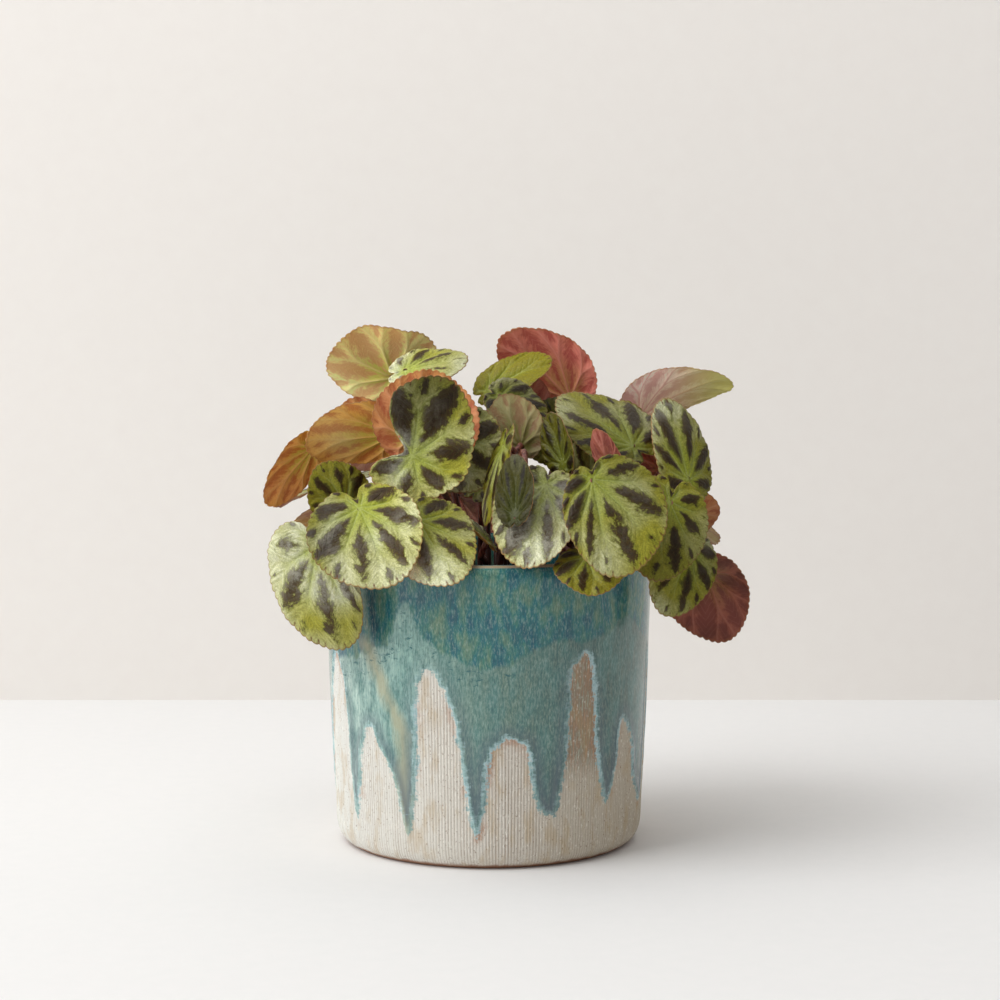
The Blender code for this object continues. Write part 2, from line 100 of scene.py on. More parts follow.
# %% Painted table and wall
def painted(name, colour, darker, grain_mm):
    """Matt emulsion paint: the roller leaves a very faint mottling, seen as a soft unevenness."""
    material, tree = new_finish(name)
    place = put(tree, "TexCoord", {}, out=3)
    mottle = put(tree, "TexNoise", {"Vector": place, "Scale": 1000 / grain_mm, "Detail": 3.0})
    tone = put(tree, "Mix", {0: mottle, 6: colour, 7: darker}, out=2, data_type="RGBA")
    skin = {"Base Color": tone, "Roughness": 0.85, "Specular IOR Level": 0.2}
    paint = put(tree, "BsdfPrincipled", skin)
    # Each sheet is painted on one side. Its back lets the view through, so the plant shows from behind.
    behind = put(tree, "NewGeometry", {}, out="Backfacing")
    sheet = put(tree, "MixShader", {0: behind, 1: paint, 2: put(tree, "BsdfTransparent", {})})
    put(tree, "OutputMaterial", {"Surface": sheet})
    return material


def sheet_of(name, corners, material):
    """A flat sheet of the room from its corners in metres."""
    mesh = bpy.data.meshes.new(name)
    mesh.from_pydata(corners, [], [(0, 1, 2, 3)])
    mesh.materials.append(material)
    sheet = bpy.data.objects.new(name, mesh)
    scene.collection.objects.link(sheet)
    return sheet


WALL_Y = 0.385
table_paint = painted("table_paint", "#e8e7e6", "#e4e4e3", 8.0)
wall_paint = painted("wall_paint", "#efebe6", "#ece7e2", 12.0)
sheet_of("table", [(-3, -3, 0), (3, -3, 0), (3, 3, 0), (-3, 3, 0)], table_paint)
sheet_of("wall", [(-3, WALL_Y, -0.5), (3, WALL_Y, -0.5), (3, WALL_Y, 3), (-3, WALL_Y, 3)], wall_paint)
print("wall stands", WALL_Y, "m behind the pot's axis")

# %% Lamps and sky
def soft_lamp(name, place, target, size, watts, colour):
    """A square area lamp that looks at a point."""
    lamp = bpy.data.lights.new(name, "AREA")
    lamp.size = size
    lamp.energy = watts
    lamp.color = linear(colour)[:3]
    holder = bpy.data.objects.new(name, lamp)
    holder.location = place
    holder.rotation_euler = (Vector(target) - Vector(place)).to_track_quat("-Z", "Y").to_euler()
    scene.collection.objects.link(holder)


soft_lamp("key", (-1.30, -0.62, 1.60), (0, 0, 0.12), 1.5, 24.0, "#ffffff")
soft_lamp("wash", (0.1, -0.2, 1.7), (0.1, 0.385, 0.35), 1.2, 5.0, "#ffffff")
sky = bpy.data.worlds.new("pale_room")
sky.use_nodes = True
sky.node_tree.nodes["Background"].inputs["Color"].default_value = linear("#ffffff")
# A broad window stands on the left, low enough to shine in the glaze.
look = put(sky.node_tree, "TexCoord", {})
toward = (-0.88, -0.38, 0.28)
facing = put(sky.node_tree, "VectorMath", {0: look, 1: toward}, out=1, operation="DOT_PRODUCT")
glow = put(sky.node_tree, "MapRange", {0: facing, 1: 0.80, 2: 0.93, 3: 0.33, 4: 2.0})
sky.node_tree.links.new(glow, sky.node_tree.nodes["Background"].inputs["Strength"])
scene.world = sky
scene.view_settings.view_transform = "Standard"

# %% [markdown]
# ## Camera
# The camera stands 1.1 m in front of the pot, a little above the leaves, and looks slightly down.
# A long lens keeps the pot's sides almost upright, as in a product photograph.

# %% Camera
eye = bpy.data.cameras.new("camera")
eye.lens = 83.53
eye.sensor_width = 36.0
camera = bpy.data.objects.new("camera", eye)
camera.location = (0.0054, -1.10, 0.2535)
camera.rotation_euler = (math.radians(90 - 4.76), 0, 0)
scene.collection.objects.link(camera)
scene.camera = camera
print("lens:", eye.lens, "mm")

# %% [markdown]
# ## Rings of points
# The pot, the soil and the leaves are all made of rings of points inside one another. Two rings of
# the same count are joined by four-cornered faces. Where the inner ring needs only a quarter of the points,
# each of its steps is joined to four steps of the outer one, so the mesh gets coarser without a seam.

# %% Helpers for rings
def joined(inner, few, outer, many):
    """Faces between two closed rings that start at these indices; many is few or four times few."""
    faces = []
    for i in range(few):
        a, b = inner + i, inner + (i + 1) % few
        if many == few:
            faces.append((a, outer + i, outer + (i + 1) % few, b))
            continue
        c = [outer + (4 * i + k) % many for k in range(5)]
        faces += [(a, c[0], c[1]), (a, c[1], c[2]), (a, c[2], b), (b, c[2], c[3]), (b, c[3], c[4])]
    return faces


def smooth_step(low, high, value):
    """0 below low, 1 above high, and an even rise between."""
    share = np.clip((value - low) / (high - low), 0.0, 1.0)
    return share * share * (3 - 2 * share)


def through(points, knots, places):
    """A closed smooth curve through points at uneven knots from 0 to 1, read at many places."""
    before = (knots - np.roll(knots, 1)) % 1.0
    after = (np.roll(knots, -1) - knots) % 1.0
    back = (points - np.roll(points, 1, 0)) / before[:, None]
    ahead = (np.roll(points, -1, 0) - points) / after[:, None]
    slope = (back * after[:, None] + ahead * before[:, None]) / (before + after)[:, None]
    i = np.searchsorted(knots, places, side="right") - 1
    j = (i + 1) % len(points)
    u = (((places - knots[i]) % 1.0) / after[i])[:, None]
    span = after[i][:, None]
    curve = (2 * u**3 - 3 * u**2 + 1) * points[i] + (3 * u**2 - 2 * u**3) * points[j]
    return curve + (u**3 - 2 * u**2 + u) * slope[i] * span + (u**3 - u**2) * slope[j] * span


def piece(name, points, faces, materials, slots, facts, stands_for):
    """A smooth mesh piece from millimetres, with named point values that its finish reads."""
    mesh = bpy.data.meshes.new(name)
    mesh.from_pydata((np.asarray(points) * 0.001).tolist(), [], faces)
    for material in materials:
        mesh.materials.append(material)
    mesh.polygons.foreach_set("material_index", slots)
    mesh.polygons.foreach_set("use_smooth", [True] * len(faces))
    for fact, values in facts.items():
        layer = mesh.attributes.new(fact, "FLOAT_VECTOR", "POINT")
        layer.data.foreach_set("vector", np.asarray(values, np.float32).ravel())
    mesh.update()
    thing = bpy.data.objects.new(name, mesh)
    scene.collection.objects.link(thing)
    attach(thing, "root")
    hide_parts(stands_for)
    return sum(len(face) - 2 for face in faces)


print("ring helpers are ready")

# %% [markdown]
# ## Where the glaze ran
# The pot is thrown stoneware. Its outside was combed with a toothed rib while it turned, then dipped
# upside down in glaze, which ran down in long tongues and left windows of bare clay between them.
# The edge of the glaze is one wavy line round the pot. In front it goes through listed points, as
# degrees from the front and millimetres above the table, and the rest of the way round it runs in the same style.

# %% The edge of the glaze
rng = np.random.default_rng(7)
GLAZE_EDGE = [
    (-67.4, 92.4), (-63.6, 84.0), (-60.6, 64.0), (-59.0, 36.0), (-55.7, 17.1), (-52.9, 33.3),
    (-49.6, 55.0), (-46.3, 61.6), (-40.6, 51.0), (-36.1, 41.8), (-33.0, 27.3), (-29.8, 14.0),
    (-26.4, 31.4), (-25.2, 59.3), (-24.4, 84.0), (-21.4, 92.1), (-14.0, 78.1), (-10.0, 56.1), (-7.6, 32.8),
    (-4.2, 15.2), (-0.4, 33.6), (1.7, 54.1), (6.2, 60.6), (12.6, 57.0), (15.2, 40.0), (18.4, 28.0),
    (22.3, 23.3), (27.6, 42.6), (29.8, 72.7), (31.6, 94.0), (35.6, 97.4), (38.7, 84.4), (41.8, 48.8),
    (47.4, 26.3), (52.6, 42.5), (56.2, 63.3), (61.4, 56.0), (65.6, 33.8), (72.7, 22.3),
]


def runs_behind(start, end):
    """More tongues and windows of glaze, with drawn widths and lengths."""
    edge = []
    angle = start
    while angle < end - 12.0:
        tip = rng.uniform(16, 34)
        top = rng.uniform(52, 96)
        wide = rng.uniform(10.0, 17.0)
        edge += [(angle, top), (angle + wide * 0.32, (top + tip) * 0.5), (angle + wide * 0.5, tip)]
        edge.append((angle + wide * 0.7, (top + tip) * 0.52))
        angle += wide
    return edge


def edge_line(points, count):
    """The wavy edge as many points (degrees, height), once round the pot."""
    points = np.array(sorted(points))
    turn = np.array([360.0, 0.0])
    wrapped = np.concatenate([points[-2:] - turn, points, points[:3] + turn]) * (1.3, 1.0)
    arc = np.concatenate([[0.0], np.cumsum(np.hypot(*np.diff(wrapped, axis=0).T))])
    knots = arc / (arc[-1] * 1.2)
    places = np.linspace(knots[2], knots[-3], count, endpoint=False)
    return through(wrapped, knots, places) / (1.3, 1.0)


glaze_edge = edge_line(GLAZE_EDGE + runs_behind(80.0, 284.0), 2400)
wobble = rng.normal(0, 1, (2, len(glaze_edge)))
wobble = np.stack([np.convolve(row, np.hanning(7) / 3.0, "same") for row in wobble], 1)
glaze_edge += wobble * (0.22, 1.0)
BAND_EDGE = [
    (-78, 88), (-60, 92), (-44, 98), (-36, 103), (-32, 116), (-28.5, 121), (-25.4, 112), (-21.0, 104),
    (-16.3, 101), (-9, 95.5), (-1, 92.5), (5, 93.0), (11.5, 98.0), (17.8, 101.0), (25.1, 104.2),
    (33, 103), (41.7, 104.5), (49, 109), (55, 113.0), (63, 107), (74, 99), (86, 104), (110, 92),
    (135, 103), (160, 95), (185, 108), (210, 98), (240, 106), (262, 97),
]
band_edge = edge_line(BAND_EDGE, 900)
print("glaze edge:", len(glaze_edge), "points, lowest", round(float(glaze_edge[:, 1].min()), 1), "mm")

# %% [markdown]
# ## The pot's shape
# The pot is turned on a wheel, so its mesh is one profile spun round the axis. It has 320 grooves from the comb,
# one every 1.5 mm, and four points to a groove, which is just enough for a real ridge and furrow in the
# mesh. The glaze lies 0.3 mm proud of the clay and rolls up a little thicker at its edge.

# %% Profile of the pot
GROOVES = 320
INSIDE = [(0.0, 8.0), (62.7, 8.0), (67.7, 20.0), (71.0, 112.0)]
LIP = [
    (71.15, 115), (71.4, 121), (71.6, 128), (71.7, 133), (71.75, 135), (71.85, 136.4), (72.15, 137.6),
    (72.75, 138.5), (73.5, 138.95), (74.3, 139.0), (75.1, 138.9), (75.9, 138.5), (76.5, 137.9), (76.95, 137.1),
    (77.2, 136.2), (77.3, 135.0),
]
SIDE = [(75.7 + 1.6 * (z - 88) / 47, z) for z in np.arange(132.2, 88, -2.9)]
SIDE += [(72.9 + 2.8 * (z - 13) / 75, z) for z in np.arange(88.0, 13.0, -2.7)]
FOOT = [(72.85, 12.0), (72.6, 9.4), (72.2, 7.2), (71.5, 5.2), (70.5, 3.4), (69.2, 1.9), (67.9, 0.9), (66.2, 0.0)]
UNDER = [(60.0, 0.0), (0.0, 0.0)]
fine = np.array(LIP + SIDE + FOOT)
print("fine rows:", len(fine), "of", 4 * GROOVES, "points")

# %% Distances to the glaze and band edges
turns = -180.0 + 360.0 * np.arange(4 * GROOVES) / (4 * GROOVES)


def edge_distance(edge, turn, height):
    """Millimetres to the edge, above zero where the glaze or band covers the clay."""
    tree = kdtree.KDTree(3 * len(edge))
    mm = math.radians(75.0)
    for lap in (-1, 0, 1):
        for i, (angle, up) in enumerate(edge.tolist()):
            tree.insert(((angle + 360 * lap) * mm, up, 0.0), i)
    tree.balance()
    laps = np.concatenate([edge - (360, 0), edge, edge + (360, 0)])
    line = np.interp(turn, np.maximum.accumulate(laps[:, 0]), laps[:, 1])
    gap = [tree.find((a * mm, h, 0.0))[2] for a, h in zip(turn.ravel().tolist(), height.ravel().tolist())]
    return np.array(gap).reshape(turn.shape) * np.where(height > line, 1.0, -1.0)


turn_grid, height_grid = np.meshgrid(turns, fine[:, 1])
glaze_gap = edge_distance(glaze_edge, turn_grid, height_grid)
band_gap = edge_distance(band_edge, turn_grid, height_grid)
print("share of the side under glaze:", round(float((glaze_gap > 0).mean()), 2))

# %% Comb marks, glaze thickness and the mesh
comb = rng.uniform(0.55, 1.0, GROOVES)
comb = np.repeat((comb + np.roll(comb, 1) + np.roll(comb, 2)) / 3, 4) * np.tile([0.0, 0.5, 1.0, 0.5], GROOVES)
outside = np.arange(len(fine)) >= 15
fade = smooth_step(4.0, 9.0, height_grid) * outside[:, None]
covered = smooth_step(-0.4, 1.4, glaze_gap)
depth = comb[None, :] * (0.42 - 0.38 * covered) * fade
roll = 0.3 * np.exp(-(((glaze_gap - 2.0) / 1.6) ** 2))
radius = fine[:, 0][:, None] - depth + (0.28 * covered + roll) * fade
angle = np.radians(turns)[None, :]
grid = np.stack([radius * np.sin(angle), -radius * np.cos(angle), height_grid + 0 * angle], -1)

rows = [(r, z, 20 if r == 0 else 80 if r < 68 else 320) for r, z in INSIDE]
pot_points = []
pot_faces = []
pot_facts = {"edges": [], "lie": []}
counts = [1, 80, 320, 320] + [4 * GROOVES] * len(fine) + [320, 1]
profile = INSIDE + [tuple(row) for row in fine] + UNDER
starts = []
for row, (count, (far, up)) in enumerate(zip(counts, profile)):
    starts.append(len(pot_points))
    fine_row = row - len(INSIDE)
    if 0 <= fine_row < len(fine):
        pot_points += grid[fine_row].tolist()
        gaps = [glaze_gap[fine_row], band_gap[fine_row]]
    else:
        spin = np.radians(-180.0 + 360.0 * np.arange(count) / count)
        pot_points += np.stack([far * np.sin(spin), -far * np.cos(spin), np.full(count, up)], -1).tolist()
        gaps = [np.full(count, 20.0 if row < len(INSIDE) else -20.0)] * 2
    spin = -180.0 + 360.0 * np.arange(count) / count
    outer = 1.0 if row >= len(INSIDE) + 11 else 0.0
    pot_facts["edges"] += np.stack([*gaps, np.full(count, outer)], -1).tolist()
    pot_facts["lie"] += np.stack([spin, np.full(count, up), np.full(count, far)], -1).tolist()
for a, b in zip(range(len(counts) - 1), range(1, len(counts))):
    few, many = counts[a], counts[b]
    if 1 in (few, many):
        hub, ring, size = (starts[a], starts[b], many) if few == 1 else (starts[b], starts[a], few)
        spokes = [(hub, ring + i, ring + (i + 1) % size) for i in range(size)]
        pot_faces += spokes if few == 1 else [face[::-1] for face in spokes]
    elif few <= many:
        pot_faces += joined(starts[a], few, starts[b], many)
    else:
        pot_faces += [face[::-1] for face in joined(starts[b], many, starts[a], few)]
print("pot mesh:", len(pot_points), "points,", sum(len(f) - 2 for f in pot_faces), "triangles")

# %% [markdown]
# ## Glaze and clay
# A running ash glaze on stoneware: where it lies thick it breaks to deep teal, where it thins it turns
# grey-green, and at its very edge the iron in the clay bleeds through as a pale blue halo and a rusty
# line. It shines like glass. The bare clay is matt and warm, darker in the furrows of the comb and
# freckled with iron. All of it is mixed by distance to the glaze's edge, so that no picture is needed.
# The thin glaze and the clay are also painted paler on the pot's left and darker on its right: painted light.

# %% Finish: ash glaze over combed stoneware
pot_finish, tree = new_finish("ash_glazed_stoneware")
edges = put(tree, "Attribute", {}, out=1, attribute_name="edges")
edges = put(tree, "SeparateXYZ", {0: edges}).node.outputs
lie = put(tree, "Attribute", {}, out=1, attribute_name="lie")
lie = put(tree, "SeparateXYZ", {0: lie}).node.outputs
place = put(tree, "TexCoord", {}, out=3)
# Streaks run down the side: 1 mm wide and 7 mm long. Blotches are 6 mm wide and 16 mm long.
streak_place = put(tree, "Mapping", {"Vector": place, "Scale": (1000, 1000, 140)})
streak = put(tree, "TexNoise", {"Vector": streak_place, "Scale": 1.0, "Detail": 4.0, "Roughness": 0.65})
blotch_place = put(tree, "Mapping", {"Vector": place, "Scale": (160, 160, 60)})
blotch = put(tree, "TexNoise", {"Vector": blotch_place, "Scale": 1.0, "Detail": 4.0, "Roughness": 0.6})
# Threads of pale and dark ash are 0.7 mm wide and 2.4 mm long, a little coarser than real.
thread_place = put(tree, "Mapping", {"Vector": place, "Scale": (1400, 1400, 420)})
thread = put(tree, "TexNoise", {"Vector": thread_place, "Scale": 1.0, "Detail": 3.0, "Roughness": 0.7})
dash_place = put(tree, "Mapping", {"Vector": place, "Scale": (240, 240, 520)})
dash = put(tree, "TexNoise", {"Vector": dash_place, "Scale": 1.0, "Detail": 4.0, "Roughness": 0.7})
drift = put(tree, "TexNoise", {"Vector": place, "Scale": 45.0, "Detail": 3.0})

# %% Colours of the glaze
# The thin glaze's own grey-green is painted paler on the pot's left and darker on its right, by the pot's x: painted
# light.
stops = [(0.0, "#c0d6cb"), (0.11, "#bbd6cb"), (0.25, "#99bfb5"), (0.42, "#829f92"), (0.57, "#6a8375")]
stops += [(0.73, "#5b6f68"), (0.87, "#5a6a61"), (1.0, "#728179")]
axes = put(tree, "SeparateXYZ", {0: place})
painted_light_across = put(tree, "MapRange", {0: axes, 1: -0.075, 2: 0.075})
thin = put(tree, "ValToRGB", {0: painted_light_across}, stops=stops)
blotchy = put(tree, "MapRange", {0: blotch, 1: 0.38, 2: 0.66})
thin = put(tree, "Mix", {0: blotchy, 6: thin, 7: "#67908a"}, out=2, data_type="RGBA")
thick = put(tree, "ValToRGB", {0: blotch}, stops=[(0.36, "#0b5068"), (0.46, "#1c6e78"), (0.54, "#3f7c6f"), (0.64, "#6e8c70")])
band_mix = put(tree, "Math", {0: blotch, 1: 9.0, 2: -4.5}, operation="MULTIPLY_ADD")
band_mix = put(tree, "Math", {0: edges[1], 1: band_mix}, operation="ADD")
band_mix = put(tree, "MapRange", {0: band_mix, 1: -1.2, 2: 1.2}, interpolation_type="SMOOTHSTEP")
glaze = put(tree, "Mix", {0: band_mix, 6: thin, 7: thick}, out=2, data_type="RGBA")
streaky = put(tree, "MapRange", {0: streak, 1: 0.36, 2: 0.64, 3: 0.0, 4: 0.6})
glaze = put(tree, "Mix", {0: streaky, 6: glaze, 7: "#3a6866"}, out=2, data_type="RGBA")
pale_threads = put(tree, "MapRange", {0: thread, 1: 0.50, 2: 0.68, 3: 0.0, 4: 0.42})
glaze = put(tree, "Mix", {0: pale_threads, 6: glaze, 7: "#a9bfb0"}, out=2, data_type="RGBA")
dark_threads = put(tree, "MapRange", {0: thread, 1: 0.48, 2: 0.34, 3: 0.0, 4: 0.5})
glaze = put(tree, "Mix", {0: dark_threads, 6: glaze, 7: "#24504f"}, out=2, data_type="RGBA")

# %% Where the ash was sparse or clotted
# A cream patch slants down on the left, and dark clots lie in a row under the band.
slant = put(tree, "MapRange", {0: lie[1], 1: 104.0, 2: 62.0, 3: -48.0, 4: -31.0})
slant = put(tree, "Math", {0: lie[0], 1: slant}, operation="SUBTRACT")
slant = put(tree, "Math", {0: slant}, operation="ABSOLUTE")
loose = put(tree, "Math", {0: blotch, 1: 8.0, 2: -4.0}, operation="MULTIPLY_ADD")
slant = put(tree, "Math", {0: slant, 1: loose}, operation="ADD")
patch = put(tree, "MapRange", {0: slant, 1: 4.8, 2: 0.6, 3: 0.0, 4: 0.8})
patch_end = put(tree, "MapRange", {0: lie[1], 1: 106.0, 2: 100.0})
patch = put(tree, "Math", {0: patch, 1: patch_end}, operation="MULTIPLY")
glaze = put(tree, "Mix", {0: patch, 6: glaze, 7: "#a6a588"}, out=2, data_type="RGBA")
clots = put(tree, "MapRange", {0: dash, 1: 0.57, 2: 0.64, 3: 0.0, 4: 0.85})
under_band = put(tree, "MapRange", {0: edges[1], 1: -11.0, 2: -8.0})
over_band = put(tree, "MapRange", {0: edges[1], 1: 1.0, 2: -3.0})
front = put(tree, "MapRange", {0: lie[0], 1: 14.0, 2: 6.0})
for limit in (under_band, over_band, front):
    clots = put(tree, "Math", {0: clots, 1: limit}, operation="MULTIPLY")
glaze = put(tree, "Mix", {0: clots, 6: glaze, 7: "#1d5a60"}, out=2, data_type="RGBA")

# %% Thick rolls, halo and rust along the edge
rolls = put(tree, "MapRange", {0: edges[0], 1: 1.0, 2: 3.0, 3: 0.0, 4: 1.0})
ends = put(tree, "MapRange", {0: edges[0], 1: 4.0, 2: 9.0, 3: 1.0, 4: 0.0})
low_down = put(tree, "MapRange", {0: lie[1], 1: 22.0, 2: 95.0, 3: 0.75, 4: 0.12})
rolls = put(tree, "Math", {0: rolls, 1: ends}, operation="MULTIPLY")
rolls = put(tree, "Math", {0: rolls, 1: low_down}, operation="MULTIPLY")
glaze = put(tree, "Mix", {0: rolls, 6: glaze, 7: "#54606c"}, out=2, data_type="RGBA")
ragged = put(tree, "Math", {0: streak, 1: 5.0, 2: -2.5}, operation="MULTIPLY_ADD")
clotted = put(tree, "Math", {0: dash, 1: 7.0, 2: -3.5}, operation="MULTIPLY_ADD")
ragged = put(tree, "Math", {0: clotted, 1: ragged}, operation="ADD")
ragged = put(tree, "Math", {0: edges[0], 1: ragged}, operation="ADD")
broken = put(tree, "MapRange", {0: drift, 1: 0.40, 2: 0.56, 3: 0.3, 4: 0.9})
halo = put(tree, "MapRange", {0: ragged, 1: 2.6, 2: 0.6})
halo = put(tree, "Math", {0: halo, 1: broken}, operation="MULTIPLY")
glaze = put(tree, "Mix", {0: halo, 6: glaze, 7: "#aecbd0"}, out=2, data_type="RGBA")

# %% Bare clay with its furrows, specks and rust
# The clay is painted paler on the pot's left and darker on its right, by the pot's x: painted light.
stops = [(0.0, "#d8d9d3"), (0.35, "#d8d4ca"), (0.55, "#d2ccc1"), (0.75, "#c6bdad"), (1.0, "#bdb3a0")]
clay = put(tree, "ValToRGB", {0: painted_light_across}, stops=stops)
speck = put(tree, "TexNoise", {"Vector": place, "Scale": 1100.0, "Detail": 1.0})
speck = put(tree, "MapRange", {0: speck, 1: 0.66, 2: 0.72, 3: 0.0, 4: 0.6})
clay = put(tree, "Mix", {0: speck, 6: clay, 7: "#7a5a41"}, out=2, data_type="RGBA")
rust_near = put(tree, "MapRange", {0: ragged, 1: -3.4, 2: -0.2, 3: 0.0, 4: 0.8})
rust_spots = put(tree, "MapRange", {0: drift, 1: 0.50, 2: 0.60})
rust_near = put(tree, "Math", {0: rust_near, 1: rust_spots}, operation="MULTIPLY")
clay = put(tree, "Mix", {0: rust_near, 6: clay, 7: "#a36a42"}, out=2, data_type="RGBA")
window = put(tree, "MapRange", {0: lie[0], 1: 25.0, 2: 28.5})
window_end = put(tree, "MapRange", {0: lie[0], 1: 45.0, 2: 41.0})
window_low = put(tree, "MapRange", {0: lie[1], 1: 38.0, 2: 52.0, 3: 0.0, 4: 0.78})
window = put(tree, "Math", {0: window, 1: window_end}, operation="MULTIPLY")
window = put(tree, "Math", {0: window, 1: window_low}, operation="MULTIPLY")
toast = put(tree, "ValToRGB", {0: streak}, stops=[(0.40, "#a57f5f"), (0.52, "#7d6a55"), (0.62, "#9aa08c")])
clay = put(tree, "Mix", {0: window, 6: clay, 7: toast}, out=2, data_type="RGBA")
furrow = put(tree, "Math", {0: lie[0], 1: GROOVES / 360.0}, operation="MULTIPLY")
furrow = put(tree, "Math", {0: furrow, 1: 0.5}, operation="PINGPONG")
furrow = put(tree, "MapRange", {0: furrow, 1: 0.22, 2: 0.48})
drifted = put(tree, "MapRange", {0: drift, 1: 0.35, 2: 0.65, 3: 0.5, 4: 1.0})
furrow = put(tree, "Math", {0: furrow, 1: drifted}, operation="MULTIPLY")
groove = put(tree, "Math", {0: lie[0], 1: GROOVES / 360.0, 2: 0.5}, operation="MULTIPLY_ADD")
groove = put(tree, "Math", {0: groove}, operation="FLOOR")
groove = put(tree, "TexWhiteNoise", {"W": groove}, noise_dimensions="1D")
groove = put(tree, "MapRange", {0: groove, 3: 0.15, 4: 1.0})
furrow = put(tree, "Math", {0: furrow, 1: groove}, operation="MULTIPLY")
clay = put(tree, "Mix", {0: furrow, 6: clay, 7: "#97806c"}, out=2, data_type="RGBA")
pale_ash = put(tree, "MapRange", {0: thread, 1: 0.56, 2: 0.68, 3: 0.0, 4: 0.7})
clay = put(tree, "Mix", {0: pale_ash, 6: clay, 7: "#eeece2"}, out=2, data_type="RGBA")
tan = put(tree, "MapRange", {0: blotch, 1: 0.50, 2: 0.64, 3: 0.0, 4: 0.42})
clay = put(tree, "Mix", {0: tan, 6: clay, 7: "#b3996f"}, out=2, data_type="RGBA")
uneven = put(tree, "Math", {0: blotch, 1: 4.0, 2: lie[1]}, operation="MULTIPLY_ADD")
base = put(tree, "MapRange", {0: uneven, 1: 4.6, 2: 3.4, 3: 0.0, 4: 0.9})
clay = put(tree, "Mix", {0: base, 6: clay, 7: "#8f5d3c"}, out=2, data_type="RGBA")

# %% The lip's bare line, and the whole finish
covers = put(tree, "MapRange", {0: ragged, 1: -0.5, 2: 0.5})
lip_up = put(tree, "MapRange", {0: lie[1], 1: 137.6, 2: 138.2, 3: 0.0, 4: 0.8})
lip_out = put(tree, "MapRange", {0: lie[2], 1: 74.9, 2: 75.4})
lip = put(tree, "Math", {0: lip_up, 1: lip_out}, operation="MULTIPLY")
colour = put(tree, "Mix", {0: covers, 6: clay, 7: glaze}, out=2, data_type="RGBA")
colour = put(tree, "Mix", {0: lip, 6: colour, 7: "#ab8f6b"}, out=2, data_type="RGBA")
shine = put(tree, "MapRange", {0: covers, 1: 0.0, 2: 1.0, 3: 0.72, 4: 0.13})
shine = put(tree, "Math", {0: shine, 1: lip}, operation="MAXIMUM")
grit = put(tree, "TexNoise", {"Vector": place, "Scale": 2200.0, "Detail": 3.0})
bare = put(tree, "Math", {0: 1.0, 1: covers}, operation="SUBTRACT")
bare = put(tree, "Math", {0: bare, 1: 0.35, 2: 0.03}, operation="MULTIPLY_ADD")
bumps = {"Height": grit, "Strength": bare, "Distance": 0.0003}
bumps = put(tree, "Bump", bumps)
waves = put(tree, "Bump", {"Height": blotch, "Strength": 0.12, "Distance": 0.0006, "Normal": bumps})
skin = {"Base Color": colour, "Roughness": shine, "IOR": 1.52, "Normal": waves}
put(tree, "OutputMaterial", {"Surface": put(tree, "BsdfPrincipled", skin)})
made = piece(
    "glazed_pot", pot_points, pot_faces, [pot_finish], [0] * len(pot_faces), pot_facts, "pot"
)
print("glazed_pot:", made, "triangles")

# %% [markdown]
# ## Potting mix
# Peat and bark, dark and crumbly. A disc of fine rings gets two sizes of lumps from a noise, and loose
# crumbs lie on it. It shows only in the gaps between the stalks, so its crumbs matter more than its colour.

# %% Shape of the soil
SOIL_TOP = 117.0
SOIL_RINGS = 56
SOIL_SIDES = 224
soil_points = [(0.0, 0.0, SOIL_TOP)]
for ring in range(1, SOIL_RINGS + 1):
    far = 70.9 * ring / SOIL_RINGS
    for i in range(SOIL_SIDES):
        spin = math.tau * i / SOIL_SIDES
        x, y = far * math.cos(spin), far * math.sin(spin)
        lumps = noise.fractal(Vector((x, y, 0)) / 9.0, 1.0, 2.0, 3) * 1.6
        crumbs = noise.noise(Vector((x, y, 5)) / 1.7) * 0.9
        edge = 1.0 - smooth_step(66.0, 70.9, far)
        soil_points.append((x, y, SOIL_TOP + float((lumps + crumbs) * edge)))
soil_faces = [(0, 1 + i, 1 + (i + 1) % SOIL_SIDES) for i in range(SOIL_SIDES)]
for ring in range(SOIL_RINGS - 1):
    soil_faces += joined(1 + ring * SOIL_SIDES, SOIL_SIDES, 1 + (ring + 1) * SOIL_SIDES, SOIL_SIDES)
last = 1 + (SOIL_RINGS - 1) * SOIL_SIDES
for far, up in ((67.3, 20.0), (62.3, 8.4)):
    start = len(soil_points)
    for i in range(SOIL_SIDES):
        spin = math.tau * i / SOIL_SIDES
        soil_points.append((far * math.cos(spin), far * math.sin(spin), up))
    soil_faces += joined(last, SOIL_SIDES, start, SOIL_SIDES)
    last = start
soil_points.append((0.0, 0.0, 8.4))
soil_faces += [(len(soil_points) - 1, last + (i + 1) % SOIL_SIDES, last + i) for i in range(SOIL_SIDES)]

# %% Loose crumbs
lump = bmesh.new()
bmesh.ops.create_icosphere(lump, subdivisions=1, radius=1.0)
lump_points = np.array([vert.co[:] for vert in lump.verts])
lump_faces = [[vert.index for vert in face.verts] for face in lump.faces]
lump.free()
for _ in range(900):
    far = 69.0 * math.sqrt(rng.uniform())
    spin = rng.uniform(0, math.tau)
    size = rng.uniform(0.5, 1.0) ** 2 * 2.6
    shape = rng.uniform(0.55, 1.0, 3) * size * (1 + rng.uniform(-0.18, 0.18, (12, 1)))
    start = len(soil_points)
    centre = (far * math.cos(spin), far * math.sin(spin), SOIL_TOP + 0.4 + 0.3 * size)
    soil_points += (lump_points * shape + centre).tolist()
    soil_faces += [tuple(start + i for i in face) for face in lump_faces]
print("soil:", len(soil_faces), "faces")

# %% [markdown]
# Damp peat is near black and matt, with a few lighter fibres of bark. The colour changes from crumb to
# crumb, about every 2 mm, and a fine bump stands for the fibres.

